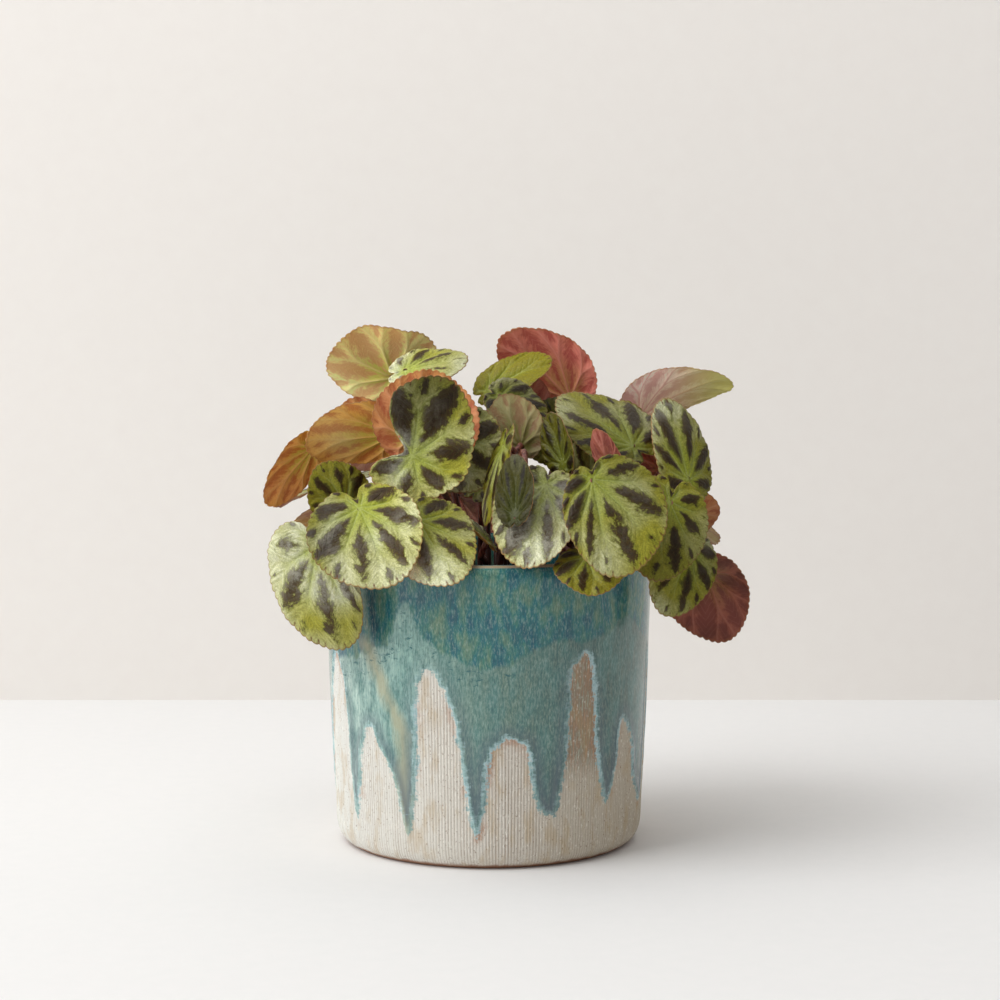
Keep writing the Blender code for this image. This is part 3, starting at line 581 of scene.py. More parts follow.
# %% Finish: damp peat
soil_finish, tree = new_finish("damp_peat")
place = put(tree, "TexCoord", {}, out=3)
crumb = put(tree, "TexNoise", {"Vector": place, "Scale": 420.0, "Detail": 4.0, "Roughness": 0.7})
colour = put(tree, "ValToRGB", {0: crumb}, stops=[(0.3, "#17100b"), (0.55, "#2c2017"), (0.75, "#57422f")])
fibre = put(tree, "TexNoise", {"Vector": place, "Scale": 1500.0, "Detail": 3.0})
rough = put(tree, "Bump", {"Height": fibre, "Strength": 0.8, "Distance": 0.0005})
skin = {"Base Color": colour, "Roughness": 0.92, "Specular IOR Level": 0.25, "Normal": rough}
put(tree, "OutputMaterial", {"Surface": put(tree, "BsdfPrincipled", skin)})
made = piece("potting_mix", soil_points, soil_faces, [soil_finish], [0] * len(soil_faces), {}, "soil")
print("potting_mix:", made, "triangles")

# %% [markdown]
# ## Reading a leaf's solid
# Each leaf's solid is a coarse shell: a flat-ended stalk, a hub, two rings and a scalloped rim, on both faces. The finer
# leaf must keep that form, so the rings are found again by walking out from the stalk's end, one ring
# of neighbours at a time. The middle between the upper and the lower ring is the leaf's own sheet.

# %% Find the rings of a leaf's solid
STALK_END = 108.0


def rings_of(name):
    """The welded points of a leaf's solid in millimetres, in rings from the stalk's end to the hub."""
    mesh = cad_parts[name].data
    raw = np.empty(len(mesh.vertices) * 3)
    mesh.vertices.foreach_get("co", raw)
    raw = raw.reshape(-1, 3) * 1000
    _, first, weld = np.unique(np.round(raw / 0.002), axis=0, return_index=True, return_inverse=True)
    points = raw[first]
    near = [set() for _ in points]
    for face in mesh.polygons:
        corners = [int(weld.ravel()[i]) for i in face.vertices]
        for a, b in zip(corners, corners[1:] + corners[:1]):
            near[a].add(b)
            near[b].add(a)
    low = [i for i in range(len(points)) if abs(points[i, 2] - STALK_END) < 0.02]
    groups = [[j for j in low if np.linalg.norm(points[i] - points[j]) < 5.0] for i in low]
    layer = set(next(group for group in groups if len(group) == 5))
    seen = set(layer)
    layers = []
    while layer:
        layers.append(sorted(layer))
        layer = set().union(*[near[i] for i in layer]) - seen
        seen |= layer
    return points, near, layers


def walked(points, near, layer, start, towards):
    """A ring's points in order from the one nearest to start, setting off to the side of towards."""
    here = min(layer, key=lambda i: np.linalg.norm(points[i] - start))
    order = [here]
    left = set(layer) - {here}
    goal = towards
    while left:
        ways = [i for i in near[here] if i in left] or list(left)
        here = min(ways, key=lambda i: np.linalg.norm(points[i] - goal))
        order.append(here)
        left.discard(here)
        goal = points[here]
    return points[order]


def sheet_rings(name):
    """Hub, inner, outer and rim rings of the leaf's middle sheet, the way up through the leaf, and the stalk."""
    points, near, layers = rings_of(name)
    hub = points[layers[6]].mean(0) / 2 + points[layers[13]].mean(0) / 2
    up = points[layers[13]].mean(0) - points[layers[6]].mean(0)
    rim_start = points[min(layers[10], key=lambda i: np.linalg.norm(points[i] - hub))]
    upper_rim = walked(points, near, layers[10], rim_start, points[near_in(near, points, layers[10], rim_start)])
    area = np.cross(upper_rim - hub, np.roll(upper_rim, -1, 0) - hub).sum(0)
    if area @ up < 0:
        upper_rim = np.roll(upper_rim[::-1], 1, 0)
    rings = [upper_rim]
    for upper in (11, 12):
        outer = rings[0]
        step = len(outer) // 15
        rings.insert(0, walked(points, near, layers[upper], outer[0], outer[step]))
    spokes = points[layers[13]]
    order = [int(np.argmin(np.linalg.norm(spokes - rings[0][3 * i], axis=1))) for i in range(5)]
    rings.insert(0, spokes[order])
    sheets = []
    for ring, lower in zip(rings, (6, 7, 8, 9)):
        under = points[layers[lower]]
        match = [under[np.argmin(np.linalg.norm(under - p, axis=1))] for p in ring]
        sheets.append((ring + match) / 2)
    return sheets, up / np.linalg.norm(up), [points[layer] for layer in layers[6::-1]]


def near_in(near, points, layer, place):
    """One neighbour, in the same ring, of the ring's point at a place."""
    here = min(layer, key=lambda i: np.linalg.norm(points[i] - place))
    return next(i for i in near[here] if i in set(layer))


for name in leaf_names[:2]:
    sheets, up, stalk = sheet_rings(name)
    print(name, [len(ring) for ring in sheets], "rim length", round(float(np.linalg.norm(
        np.diff(sheets[3], axis=0), axis=1).sum())), "mm")

# %% [markdown]
# ## The finer leaf
# Smooth curves through the coarse rings give a fine grid: columns run from the hub to the rim, and rows run round.
# On a real leaf, palm-like veins spread from the stalk, sink into the upper face, stand out as ribs
# below and fork towards the rim. The skin between them swells, and the rim has small rounded teeth,
# about one every 3.3 mm. All of these are moved points of the grid, so they show in the outline too.

# %% Rows, teeth and veins
INNER_ROWS = (0.03, 0.07, 0.12, 0.17)
OUTER_ROWS = (0.22, 0.27, 0.32, 0.38, 0.44, 0.50, 0.56, 0.62, 0.68, 0.74, 0.79, 0.84, 0.89, 0.93, 0.96, 0.985, 1.0)
ROWS = np.array((0.0, *INNER_ROWS, *OUTER_ROWS))
TOOTH_PITCH = 3.3
HALF_SHEET = 0.26


def grid_of(sheets, columns):
    """Points of the middle sheet, row by row from the hub to the rim."""
    edge = sheets[3].copy()
    edge[2:-1] = sheets[3][2:-1] / 2 + (sheets[3][1:-2] + np.roll(sheets[3], -1, 0)[2:-1]) / 4
    sheets[3] = edge
    rim = np.concatenate([sheets[3], sheets[3][:1]])
    arc = np.concatenate([[0.0], np.cumsum(np.linalg.norm(np.diff(rim, axis=0), axis=1))])
    knots = arc[:-1] / arc[-1]
    places = np.arange(columns) / columns
    rings = [through(ring, knots[:: 30 // len(ring)], places) for ring in sheets]
    shares = (0.0, 0.36, 0.70, 1.0)
    grid = np.zeros((len(ROWS), columns, 3))
    for i, own in enumerate(shares):
        weight = np.ones(len(ROWS))
        for j, other in enumerate(shares):
            if i != j:
                weight *= (ROWS - other) / (own - other)
        grid += weight[:, None, None] * rings[i][None]
    return grid, float(arc[-1]), float(knots[15])


def unit(vectors):
    return vectors / np.maximum(np.linalg.norm(vectors, axis=-1, keepdims=True), 1e-9)


def vein_phases(columns, tip, ribs):
    """For each column, which vein it lies at: whole numbers on veins, 0 at the one to the tip."""
    middle = round(tip * columns)
    spots = [0.0]
    marks = [-ribs - 0.45]
    for i in range(-ribs, ribs + 1):
        room = middle if i < 0 else columns - middle
        spots.append(middle + round(i * room / (ribs + 0.45)))
        marks.append(float(i))
    spots.append(float(columns))
    marks.append(ribs + 0.45)
    return np.interp(np.arange(columns), spots, marks)


print("rows:", len(ROWS), "from hub to rim")

# %% Blade and stalk of one leaf as points and faces
def blade_faces(teeth):
    """Faces of one side of the blade, from the hub ring of teeth / 4 points outwards."""
    sizes = [teeth // 4] + [teeth] * len(INNER_ROWS) + [4 * teeth] * len(OUTER_ROWS)
    faces = []
    start = 0
    for few, many in zip(sizes, sizes[1:]):
        faces += joined(start, few, start + few, many)
        start += few
    return faces, start, start + 4 * teeth


def thinned(grid):
    """The grid's rows as one list, with every 16th, 4th or single column, as the faces need."""
    inner = len(INNER_ROWS) + 1
    parts = [grid[0][::16]] + [row[::4] for row in grid[1:inner]] + [row for row in grid[inner:]]
    return np.concatenate(parts)


def fine_leaf(name, seed):
    """Points, faces, material slots and point values of a leaf that keeps its solid's form."""
    draw = np.random.default_rng(seed)
    sheets, up, stalk = sheet_rings(name)
    around = float(np.linalg.norm(np.diff(sheets[3], axis=0), axis=1).sum())
    teeth = int(min(48, max(28, 4 * round(around / TOOTH_PITCH / 4))))
    columns = 4 * teeth
    grid, around, tip = grid_of(sheets, columns)
    along = np.gradient(grid, ROWS, axis=0)
    round_it = (np.roll(grid, -1, 1) - np.roll(grid, 1, 1)) / 2
    normal = unit(np.cross(along, round_it))
    step = np.linalg.norm(round_it, axis=-1)
    share = ROWS[:, None] + np.zeros(columns)
    radial = np.concatenate([[np.zeros(columns)], np.cumsum(np.linalg.norm(np.diff(grid, axis=0), axis=-1), 0)])

    ribs = 3
    phase = vein_phases(columns, tip, ribs)
    slope = np.abs(np.gradient(phase))
    q = phase - np.round(phase)
    fork = 0.23 * smooth_step(0.42, 1.0, share)
    off = np.abs(np.abs(q)[None, :] - fork)
    inside = np.abs(q)[None, :] < fork
    between = np.where(inside, np.clip(off / np.maximum(fork, 0.02), 0, 1) * smooth_step(0.1, 0.2, fork), off / (0.5 - fork))
    gap = off * step / slope[None, :]
    sunk = np.exp(-((gap / (0.75 - 0.3 * share)) ** 2)) * smooth_step(0.0, 0.1, share) * (1.0 - 0.75 * share)
    swell = np.sin(np.clip(between, 0, 1) * math.pi / 2) * smooth_step(0.05, 0.35, share) * (1 - 0.6 * share**6)
    pitch = TOOTH_PITCH * 1.5
    puff = np.sin((radial - 1.1 * gap) / pitch * math.tau) * smooth_step(0.2, 0.4, share) * (1 - share**8)
    puff *= np.clip(gap / 1.5, 0, 1)
    relief = 0.75 * swell - 0.5 * sunk + 0.07 * puff

    tooth = np.abs(np.sin(np.arange(columns) * math.pi / 4))
    size = np.repeat(draw.uniform(0.6, 1.15, teeth), 4)
    notch = smooth_step(0.0, 0.06, np.minimum(np.arange(columns), columns - np.arange(columns)) / columns)
    reach = (tooth - 0.6) * size * notch * min(0.95, around / 180)
    frill = np.sin(np.arange(columns) / columns * math.tau * round(teeth / 4.5) + draw.uniform(0, 6.28))
    frill = frill * 0.25 * notch * smooth_step(0.55, 1.0, share)
    sheet = grid + unit(along) * (reach[None, :] * smooth_step(0.86, 1.0, share))[..., None]
    sheet = sheet + normal * (relief * notch.clip(0.25, 1) + frill)[..., None]
    half = HALF_SHEET * (1 - 0.45 * share**4)
    rib_under = 0.35 * np.exp(-((gap / 0.7) ** 2)) * (1 - 0.8 * share) * smooth_step(0.0, 0.12, share)
    top = sheet + normal * half[..., None]
    under = sheet - normal * (half + rib_under)[..., None]

    faces, rim, count = blade_faces(teeth)
    points = np.concatenate([thinned(top), thinned(under)])
    slots = [0] * len(faces) + [1] * len(faces)
    faces = faces + [tuple(i + count for i in face[::-1]) for face in faces]
    for i in range(columns):
        j = (i + 1) % columns
        faces.append((rim + i, count + rim + i, count + rim + j, rim + j))
    slots += [2] * columns
    sides = teeth // 4
    points = np.concatenate([points, top[0][::16].mean(0)[None] + up * 0.05])
    faces += [(2 * count, i, (i + 1) % sides) for i in range(sides)]
    slots += [0] * sides

    blade = np.stack([between, share, gap], -1)
    fan = np.stack([radial, phase + 0 * share, np.arange(columns) / 4 + 0 * share], -1)
    blade = np.concatenate([thinned(blade), thinned(blade), [[0.0, 0.0, 0.0]]])
    fan = np.concatenate([thinned(fan), thinned(fan), [[0.0, 0.0, 0.0]]])
    tube = stalk_points(under[0][::16], up, stalk)
    start = count
    for ring in tube:
        faces += joined(start, sides, len(points), sides)
        slots += [3] * sides
        start = len(points)
        points = np.concatenate([points, ring])
    faces.append(tuple(start + i for i in reversed(range(sides))))
    slots.append(3)
    rest = len(points) - len(blade)
    far = np.repeat(np.arange(1, len(tube) + 1) / len(tube), sides)
    blade = np.concatenate([blade, np.stack([far, np.zeros(rest), np.zeros(rest)], -1)])
    fan = np.concatenate([fan, np.zeros((rest, 3))])
    return points, faces, slots, blade, fan


def stalk_points(hub_ring, up, stalk):
    """Rings of the stalk from under the hub to its end in the soil, on a smooth curve."""
    centres = np.array([hub_ring.mean(0)] + [ring.mean(0) for ring in stalk[1:]])
    radii = [1.55] + [float(np.linalg.norm(ring - ring.mean(0), axis=1).mean()) for ring in stalk[1:]]
    arms = hub_ring - centres[0]
    east = unit(arms[0] - up * (arms[0] @ up))
    north = np.cross(up, east)
    angles = np.arctan2(arms @ north, arms @ east)
    slopes = np.gradient(centres, axis=0)
    rings = []
    for i in range(len(centres) - 1):
        for u in (0.25, 0.5, 0.75, 1.0):
            a, b, c, d = 2 * u**3 - 3 * u**2 + 1, 3 * u**2 - 2 * u**3, u**3 - 2 * u**2 + u, u**3 - u**2
            place = a * centres[i] + b * centres[i + 1] + c * slopes[i] + d * slopes[i + 1]
            ahead = 6 * (u * u - u) * (centres[i] - centres[i + 1])
            ahead = ahead + (3 * u * u - 4 * u + 1) * slopes[i] + (3 * u * u - 2 * u) * slopes[i + 1]
            ahead = unit(ahead)
            east = unit(east - ahead * (east @ ahead))
            north = np.cross(east, ahead)
            wide = radii[i] + (radii[i + 1] - radii[i]) * u
            arms = np.cos(angles)[:, None] * east + np.sin(angles)[:, None] * north
            rings.append(place + arms * wide * 0.94)
    return rings


print("one tooth every", TOOTH_PITCH, "mm")

# %% [markdown]
# ## The upper face
# A painted-leaf begonia is pale along its veins, where air under the skin gives a silvery sheen, and
# dark brown-green between them. The dark bands have feathered edges that follow the small side veins,
# and they break into spots near the rim. The finish reads three values that each leaf's mesh carries: how
# far a point is between two veins, how far out it is, and how many millimetres from a vein.

# %% Values that both faces of the leaf read
def leaf_values(tree):
    """The mesh's own values, the feather coordinate along side veins and three noises."""
    own = {}
    for fact in ("blade", "fan", "tone", "painted_light_tip_band"):
        read = put(tree, "Attribute", {}, out=1, attribute_name=fact)
        own[fact] = put(tree, "SeparateXYZ", {0: read}).node.outputs
    blade, fan = own["blade"], own["fan"]
    place = put(tree, "TexCoord", {}, out=3)
    own["place"] = place
    # Blotches are about 5 mm wide, and the slow drift changes over 25 mm.
    own["patch"] = put(tree, "TexNoise", {"Vector": place, "Scale": 190.0, "Detail": 6.0, "Roughness": 0.66})
    own["drift"] = put(tree, "TexNoise", {"Vector": place, "Scale": 38.0, "Detail": 1.0})
    # Side veins leave a main vein about every 3.5 mm, and wander a little.
    lean = put(tree, "Math", {0: blade[2], 1: -1.3, 2: fan[0]}, operation="MULTIPLY_ADD")
    lean = put(tree, "Math", {0: own["patch"], 1: 3.5, 2: lean}, operation="MULTIPLY_ADD")
    own["pitch"] = put(tree, "Math", {0: lean, 1: 1 / 3.5}, operation="MULTIPLY")
    spread = put(tree, "Math", {0: fan[1], 1: 4.0}, operation="MULTIPLY")
    spot = put(tree, "CombineXYZ", {0: own["pitch"], 1: spread})
    own["feather"] = put(tree, "TexNoise", {"Vector": spot, "Scale": 1.5, "Detail": 4.0, "Roughness": 0.65})
    own["cells"] = put(tree, "TexVoronoi", {"Vector": place, "Scale": 620.0}, feature="DISTANCE_TO_EDGE")
    # Grains are single skin cells in clumps of 0.7 mm.
    own["grain"] = put(tree, "TexNoise", {"Vector": place, "Scale": 1400.0, "Detail": 2.0})
    sector = put(tree, "Math", {0: fan[1]}, operation="FLOOR")
    own["sector"] = put(tree, "TexWhiteNoise", {"W": sector}, noise_dimensions="1D")
    return own


def band_mask(tree, own, rows, spread, soft):
    """1 in the dark bands between the veins; rows says how narrow they are on the way to the rim."""
    wide = put(tree, "ValToRGB", {0: own["blade"][1]}, stops=[(at, value / 2) for at, value in rows])
    wide = put(tree, "Math", {0: wide, 1: 2.0}, operation="MULTIPLY")
    jag = put(tree, "Math", {0: own["feather"], 1: spread, 2: -0.5 * spread}, operation="MULTIPLY_ADD")
    broken = put(tree, "Math", {0: own["patch"], 1: 2.0, 2: -1.0}, operation="MULTIPLY_ADD")
    uneven = put(tree, "Math", {0: own["sector"], 1: 0.5, 2: -0.25}, operation="MULTIPLY_ADD")
    level = put(tree, "Math", {0: own["blade"][0], 1: jag}, operation="ADD")
    for part in (broken, uneven, own["painted_light_tip_band"][2]):
        level = put(tree, "Math", {0: level, 1: part}, operation="ADD")
    level = put(tree, "Math", {0: level, 1: wide}, operation="SUBTRACT")
    return put(tree, "MapRange", {0: level, 1: -soft, 2: soft}, interpolation_type="SMOOTHSTEP"), level


print("leaf values: blade, fan and tone")

# %% Finish: silvered leaf skin
top_finish, tree = new_finish("silvered_leaf_skin")
own = leaf_values(tree)
rows = [(0.0, 1.4), (0.10, 1.2), (0.22, 0.74), (0.38, 0.46), (0.64, 0.40), (0.80, 0.54), (0.92, 0.80), (1.0, 1.2)]
band, level = band_mask(tree, own, rows, 0.6, 0.14)
tone = own["tone"]
out = own["blade"][1]
# The silver is the skin's own, and where it grows towards one side of a leaf it is painted sheen.
silver_and_sheen = put(tree, "Math", {0: own["drift"], 1: 3.0, 2: -1.5}, operation="MULTIPLY_ADD")
silver_and_sheen = put(tree, "Math", {0: silver_and_sheen, 1: tone[0]}, operation="ADD", use_clamp=True)
leafy = put(tree, "MapRange", {0: own["feather"], 1: 0.35, 2: 0.7})
green = put(tree, "Mix", {0: leafy, 6: "#a5a23c", 7: "#817d24"}, out=2, data_type="RGBA")
green = put(tree, "Mix", {0: tone[1], 6: green, 7: "#7f7812"}, out=2, data_type="RGBA")
sheeny = put(tree, "Mix", {0: leafy, 6: "#d3d4b4", 7: "#a8aa74"}, out=2, data_type="RGBA")
pale = put(tree, "Mix", {0: silver_and_sheen, 6: green, 7: sheeny}, out=2, data_type="RGBA")
near_hub = put(tree, "MapRange", {0: out, 1: 0.03, 2: 0.42, 3: 0.7, 4: 0.0})
pale = put(tree, "Mix", {0: near_hub, 6: pale, 7: "#98a02c"}, out=2, data_type="RGBA")
fringe = put(tree, "MapRange", {0: level, 1: -0.32, 2: 0.0, 3: 0.0, 4: 0.75})
pale = put(tree, "Mix", {0: fringe, 6: pale, 7: "#6c701e"}, out=2, data_type="RGBA")
deep = put(tree, "MapRange", {0: level, 1: 0.0, 2: 0.5})
dark = put(tree, "Mix", {0: deep, 6: "#473714", 7: "#2e1f0b"}, out=2, data_type="RGBA")
# Grey inside the dark bands where the skin is silver is a painted sheen.
painted_sheen_in_bands = put(tree, "MapRange", {0: own["patch"], 1: 0.42, 2: 0.62, 3: 0.0, 4: 0.7})
painted_sheen_in_bands = put(tree, "Math", {0: painted_sheen_in_bands, 1: silver_and_sheen}, operation="MULTIPLY")
dark = put(tree, "Mix", {0: painted_sheen_in_bands, 6: dark, 7: "#837b6c"}, out=2, data_type="RGBA")
skin_colour = put(tree, "Mix", {0: band, 6: pale, 7: dark}, out=2, data_type="RGBA")

# %% Wide green veins, painted silver sheen and grain
wide_vein = put(tree, "MapRange", {0: own["blade"][2], 1: 3.2, 2: 0.6, 3: 0.0, 4: 0.7})
wide_out = put(tree, "MapRange", {0: out, 1: 0.78, 2: 0.2})
wide_vein = put(tree, "Math", {0: wide_vein, 1: wide_out}, operation="MULTIPLY")
skin_colour = put(tree, "Mix", {0: wide_vein, 6: skin_colour, 7: "#929c38"}, out=2, data_type="RGBA")
# A grey-white haze over silver parts, dark bands too, is a painted sheen.
painted_sheen = put(tree, "MapRange", {0: silver_and_sheen, 1: 0.5, 2: 1.0, 3: 0.0, 4: 0.34})
painted_sheen_patches = put(tree, "MapRange", {0: own["patch"], 1: 0.38, 2: 0.60})
painted_sheen = put(tree, "Math", {0: painted_sheen, 1: painted_sheen_patches}, operation="MULTIPLY")
skin_colour = put(tree, "Mix", {0: painted_sheen, 6: skin_colour, 7: "#bfc2b2"}, out=2, data_type="RGBA")
grain = put(tree, "MapRange", {0: own["grain"], 1: 0.3, 2: 0.7, 3: 0.8, 4: 1.2})
skin_colour = put(tree, "VectorMath", {0: skin_colour, "Scale": grain}, operation="SCALE")

# %% Fine veins, the dotted margin and the gloss
line = put(tree, "MapRange", {0: own["blade"][2], 1: 0.45, 2: 0.12, 3: 0.0, 4: 0.4})
line_out = put(tree, "MapRange", {0: out, 1: 0.95, 2: 0.3})
line = put(tree, "Math", {0: line, 1: line_out}, operation="MULTIPLY")
skin_colour = put(tree, "Mix", {0: line, 6: skin_colour, 7: "#b9c27a"}, out=2, data_type="RGBA")
side_vein = put(tree, "Math", {0: own["pitch"], 1: 0.5}, operation="PINGPONG")
side_line = put(tree, "MapRange", {0: side_vein, 1: 0.10, 2: 0.02, 3: 0.0, 4: 0.16})
skin_colour = put(tree, "Mix", {0: side_line, 6: skin_colour, 7: "#5b6a33"}, out=2, data_type="RGBA")
dots = put(tree, "Math", {0: own["fan"][2], 1: 0.5}, operation="PINGPONG")
dots = put(tree, "MapRange", {0: dots, 1: 0.18, 2: 0.06})
dot_rows = put(tree, "ValToRGB", {0: out}, stops=[(0.92, 0.0), (0.955, 0.9), (0.985, 0.5), (1.0, 0.4)])
dots = put(tree, "Math", {0: dots, 1: dot_rows}, operation="MULTIPLY")
some = put(tree, "MapRange", {0: own["patch"], 1: 0.46, 2: 0.56, 3: 0.1, 4: 1.0})
dots = put(tree, "Math", {0: dots, 1: some}, operation="MULTIPLY")
skin_colour = put(tree, "Mix", {0: dots, 6: skin_colour, 7: "#5a2f1c"}, out=2, data_type="RGBA")
margin = put(tree, "MapRange", {0: out, 1: 0.972, 2: 0.995, 3: 0.0, 4: 0.85})
skin_colour = put(tree, "Mix", {0: margin, 6: skin_colour, 7: "#8c6a3c"}, out=2, data_type="RGBA")
cell_bump = put(tree, "Bump", {"Height": own["cells"], "Strength": 0.35, "Distance": 0.0006})
side_bump = put(tree, "MapRange", {0: side_vein, 1: 0.0, 2: 0.30}, interpolation_type="SMOOTHSTEP")
side_bump = put(tree, "Bump", {"Height": side_bump, "Strength": 0.25, "Distance": 0.0004, "Normal": cell_bump})
gloss = put(tree, "MapRange", {0: own["patch"], 1: 0.3, 2: 0.7, 3: 0.34, 4: 0.46})
# Each leaf's colour is scaled by its painted light and shade.
skin_colour = put(tree, "VectorMath", {0: skin_colour, "Scale": own["painted_light_tip_band"][0]}, operation="SCALE")
skin = {"Base Color": skin_colour, "Roughness": gloss, "IOR": 1.4, "Specular IOR Level": 0.3, "Normal": side_bump}
put(tree, "OutputMaterial", {"Surface": put(tree, "BsdfPrincipled", skin)})
print("upper face:", len(tree.nodes), "nodes")

# %% [markdown]
# ## The underside, the rim and the stalk
# Below, the same leaf is red or green without silver: light comes through it, so the bands show as darker
# stripes and the ribs as paler lines with a fine net between. The rim is a thin tan cord, and the stalks are pink with
# a thin translucent skin.

# %% Finish: ribbed leaf underside
under_finish, tree = new_finish("ribbed_underside")
own = leaf_values(tree)
out = own["blade"][1]
rows = [(0.0, 1.2), (0.15, 0.8), (0.4, 0.55), (0.8, 0.5), (1.0, 0.8)]
band, level = band_mask(tree, own, rows, 1.0, 0.3)
family = put(tree, "Math", {0: own["drift"], 1: 0.3, 2: -0.15}, operation="MULTIPLY_ADD")
family = put(tree, "Math", {0: own["tone"][2], 1: family}, operation="ADD", use_clamp=True)
# These underside colours are kept light, partly as painted light that shines through the leaf.
stops = [(0.0, "#d9d492"), (0.25, "#d29c48"), (0.5, "#d07c6c"), (0.75, "#8f4a34"), (1.0, "#efd8c8")]
flesh = put(tree, "ValToRGB", {0: family}, stops=stops)
stops = [(0.0, "#c99a70"), (0.25, "#b0642f"), (0.5, "#ac4f46"), (0.75, "#5f2e20"), (1.0, "#d29c90")]
stripe = put(tree, "ValToRGB", {0: family}, stops=stops)
stops = [(0.0, "#d6cf94"), (0.25, "#d2a45c"), (0.5, "#d98f80"), (0.75, "#a3604a"), (1.0, "#c98880")]
rib = put(tree, "ValToRGB", {0: family}, stops=stops)
green_hub = put(tree, "MapRange", {0: out, 1: 0.12, 2: 0.75, 3: 0.8, 4: 0.0}, interpolation_type="SMOOTHSTEP")
redder = put(tree, "MapRange", {0: own["tone"][2], 1: 0.3, 2: 0.6, 3: 1.0, 4: 0.25})
green_hub = put(tree, "Math", {0: green_hub, 1: redder}, operation="MULTIPLY")
flesh = put(tree, "Mix", {0: green_hub, 6: flesh, 7: "#a9a93e"}, out=2, data_type="RGBA")
faint = put(tree, "Math", {0: band, 1: 0.8}, operation="MULTIPLY")
flesh = put(tree, "Mix", {0: faint, 6: flesh, 7: stripe}, out=2, data_type="RGBA")
mottled = put(tree, "MapRange", {0: own["feather"], 1: 0.45, 2: 0.75, 3: 0.0, 4: 0.5})
flesh = put(tree, "Mix", {0: mottled, 6: flesh, 7: stripe}, out=2, data_type="RGBA")
line = put(tree, "MapRange", {0: own["blade"][2], 1: 0.7, 2: 0.25, 3: 0.0, 4: 0.6})
flesh = put(tree, "Mix", {0: line, 6: flesh, 7: rib}, out=2, data_type="RGBA")
side_vein = put(tree, "Math", {0: own["pitch"], 1: 0.5}, operation="PINGPONG")
side_line = put(tree, "MapRange", {0: side_vein, 1: 0.12, 2: 0.03, 3: 0.0, 4: 0.22})
flesh = put(tree, "Mix", {0: side_line, 6: flesh, 7: rib}, out=2, data_type="RGBA")
margin = put(tree, "MapRange", {0: out, 1: 0.95, 2: 0.995, 3: 0.0, 4: 0.6})
flesh = put(tree, "Mix", {0: margin, 6: flesh, 7: "#a5683c"}, out=2, data_type="RGBA")
flesh = put(tree, "Mix", {0: own["painted_light_tip_band"][1], 6: flesh, 7: "#a3a055"}, out=2, data_type="RGBA")
# The underside is scaled by the same painted light and shade, lighter where light would shine through.
flesh = put(tree, "VectorMath", {0: flesh, "Scale": own["painted_light_tip_band"][0]}, operation="SCALE")
net = put(tree, "Bump", {"Height": own["cells"], "Strength": 0.4, "Distance": 0.0005})
net = put(tree, "Bump", {"Height": side_line, "Strength": 0.5, "Distance": 0.0004, "Normal": net})
skin = {"Base Color": flesh, "Roughness": 0.5, "IOR": 1.4, "Specular IOR Level": 0.35, "Normal": net}
put(tree, "OutputMaterial", {"Surface": put(tree, "BsdfPrincipled", skin)})
print("underside:", len(tree.nodes), "nodes")

# %% Finishes: leaf rim and stalk
rim_finish, tree = new_finish("tan_leaf_rim")
place = put(tree, "TexCoord", {}, out=3)
change = put(tree, "TexNoise", {"Vector": place, "Scale": 300.0, "Detail": 2.0})
colour = put(tree, "ValToRGB", {0: change}, stops=[(0.35, "#6f4a2a"), (0.55, "#a67c45"), (0.7, "#b9a35c")])
put(tree, "OutputMaterial", {"Surface": put(tree, "BsdfPrincipled", {"Base Color": colour, "Roughness": 0.5})})
stalk_finish, tree = new_finish("fleshy_pink_stalk")
place = put(tree, "TexCoord", {}, out=3)
long_place = put(tree, "Mapping", {"Vector": place, "Scale": (900, 900, 90)})
change = put(tree, "TexNoise", {"Vector": long_place, "Scale": 1.0, "Detail": 3.0})
colour = put(tree, "ValToRGB", {0: change}, stops=[(0.3, "#4a2018"), (0.5, "#7c3f33"), (0.7, "#a0705a")])
# Towards the soil the stalks darken to near black: painted shade deep under the leaves.
down = put(tree, "Attribute", {}, out=1, attribute_name="blade")
down = put(tree, "MapRange", {0: down, 1: 0.08, 2: 0.26, 3: 0.0, 4: 0.9})
colour = put(tree, "Mix", {0: down, 6: colour, 7: "#1d0f0a"}, out=2, data_type="RGBA")
ridges = put(tree, "Bump", {"Height": change, "Strength": 0.3, "Distance": 0.0004})
skin = {"Base Color": colour, "Roughness": 0.42, "Subsurface Weight": 0.1, "Normal": ridges}
skin["Subsurface Scale"] = 0.002
put(tree, "OutputMaterial", {"Surface": put(tree, "BsdfPrincipled", skin)})
print("rim and stalk finishes are ready")
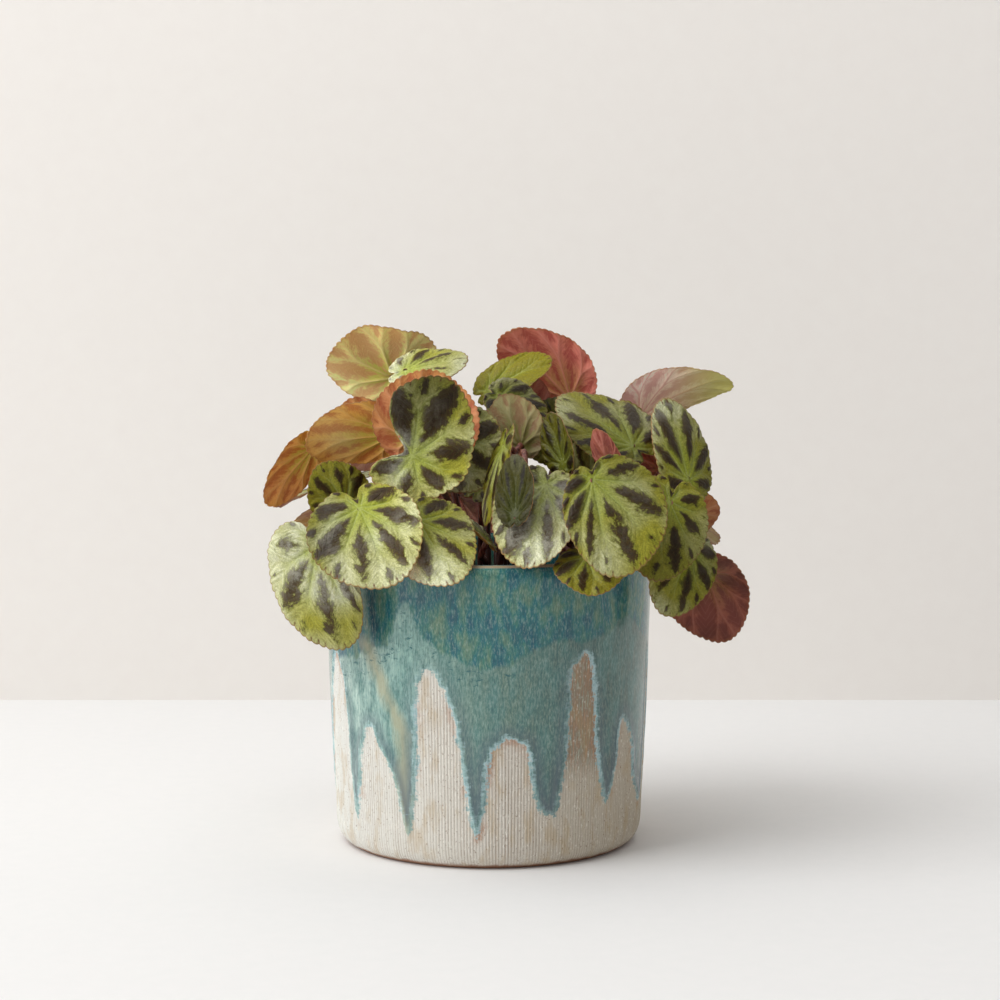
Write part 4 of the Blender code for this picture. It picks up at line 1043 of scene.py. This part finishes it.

# %% [markdown]
# ## Every leaf in its place
# Each leaf gets its own tone: how silver its skin is, how olive, which colour its underside has
# (from 0, lime, over amber, rose and wine to 1, blush), and how light it is, which is painted shade for
# leaves deep in the crown and painted light for leaves in the lamp's light or lit from behind. The last two
# numbers say to which side, in degrees seen from the front, it is painted lighter and more silver, as
# painted light and painted sheen, and how much. The order is the order of the solids.

# %% Make all the leaves
TONES = [
    (0.5, 0.1, 0.5, 0.85, -90, 0.5), (0.35, 0.1, 0.5, 0.9, -100, 0.6), (-0.2, 0.5, 0.25, 0.9, 0, 0.1),
    (0.0, 0.4, 0.25, 0.75, 180, 0.2), (0.6, 0.0, 0.5, 0.95, 180, 0.2), (0.0, 0.3, 0.25, 0.8, 90, 0.3),
    (0.3, 0.0, 0.5, 1.05, 0, 0.5), (0.1, 0.2, 0.5, 0.75, -90, 0.4), (-0.6, 0.9, 0.25, 0.14, 130, 0.8),
    (-0.1, 0.7, 0.25, 0.8, 180, 0.2), (0.3, 0.3, 0.25, 0.75, 90, 0.2), (0.4, 0.0, 0.5, 1.2, -75, 0.6),
    (0.3, 0.2, 0.5, 0.7, 0, 0.6), (0.0, 0.5, 0.25, 0.85, 180, 0.2), (0.1, 0.3, 0.35, 1.0, 90, 0.1),
    (0.0, 0.0, 0.22, 1.4, 90, 0.1), (-0.3, 0.75, 0.3, 0.5, -90, 0.3), (0.1, 0.4, 0.66, 0.7, 90, 0.2),
    (0.5, 0.1, 0.5, 0.7, 90, 0.2), (0.0, 0.45, 0.5, 0.5, 100, 0.5), (0.0, 0.5, 0.5, 0.9, 180, 0.4),
    (0.1, 0.5, 0.4, 0.7, 90, 0.2), (0.1, 0.1, 0.72, 0.7, 90, 0.1), (0.0, 0.75, 0.05, 0.32, 90, 0.5),
    (0.1, 0.5, 0.5, 0.6, 90, 0.2), (0.1, 0.4, 0.64, 1.2, 90, 0.2), (0.0, 0.0, 0.28, 1.6, 90, 0.0),
    (0.1, 0.5, 0.4, 0.55, 90, 0.3), (-0.6, 1.0, 0.0, 0.95, 90, 0.2), (0.9, 0.0, 0.3, 1.2, 180, 0.2),
    (0.0, 0.5, 0.5, 0.4, -90, 0.5), (0.1, 0.4, 0.5, 0.6, 90, 0.3), (0.1, 0.0, 0.95, 1.35, 0, 0.1),
    (0.0, 0.2, 0.35, 1.0, 90, 0.1), (0.1, 0.7, 0.5, 0.8, 90, 0.1), (0.2, 0.0, 0.04, 1.55, -90, 0.0),
    (0.1, 0.0, 0.52, 1.35, 90, 0.1), (0.5, 0.1, 0.45, 0.8, 90, 0.2), (0.3, 0.6, 0.3, 0.8, 90, 0.2),
    (0.4, 0.1, 0.55, 0.8, 90, 0.2), (0.5, 0.1, 0.3, 0.8, 90, 0.2), (0.3, 0.8, 0.6, 0.8, 90, 0.2),
    (0.6, 0.8, 0.5, 0.8, 90, 0.2), (0.3, 0.2, 0.2, 0.8, 90, 0.2), (0.2, 0.2, 0.4, 0.8, 90, 0.2),
]
GREEN_TIPPED = 33
# Leaves with wider bands than the rest, above zero, or with narrower ones or none.
BAND_SHIFT = {1: 0.1, 5: -0.05, 9: -0.4, 12: -0.02, 13: 0.1, 29: -2.0, 30: -0.25}


def toned(points, blade, numbers, green_tip, shift):
    """The tone of each point of a leaf, with painted sheen towards its lit side, and its painted light and shade,
    green tip and band shift.
    """
    silver_and_sheen, olive, below, light, side, slope = numbers
    # Towards the given side a leaf is painted lighter and more silver: painted light and painted sheen.
    toward = np.array([math.cos(math.radians(side)), 0.0, math.sin(math.radians(side))])
    lie = (np.array(points) - points[0]) @ toward
    lie = np.clip(lie / np.abs(lie[blade[:, 1] > 0]).max(), -1, 1)
    lie = np.where(blade[:, 1] > 0, lie, 0)
    same = np.ones(len(points))
    tone = np.stack([silver_and_sheen + 0.6 * slope * lie, olive * same, below * same], -1)
    tip = green_tip * smooth_step(0.15, 0.9, lie)
    # The light number, with its slope, is painted light and shade.
    return tone, np.stack([light * (1 + slope * lie), tip, shift * same], -1)


total = 0
for number, (name, numbers) in enumerate(zip(leaf_names, TONES), 1):
    points, faces, slots, blade, fan = fine_leaf(name, number)
    fan[:, 1] += number * 20.0
    green_tip = 0.9 if number == GREEN_TIPPED else 0.0
    tone, painted_light_tip_band = toned(points, blade, numbers, green_tip, BAND_SHIFT.get(number, 0.0))
    facts = {"blade": blade, "fan": fan, "tone": tone, "painted_light_tip_band": painted_light_tip_band}
    coats = [top_finish, under_finish, rim_finish, stalk_finish]
    total += piece(f"fine_{name}", points, faces, coats, slots, facts, name)
print("leaves:", len(leaf_names), "with", total, "triangles")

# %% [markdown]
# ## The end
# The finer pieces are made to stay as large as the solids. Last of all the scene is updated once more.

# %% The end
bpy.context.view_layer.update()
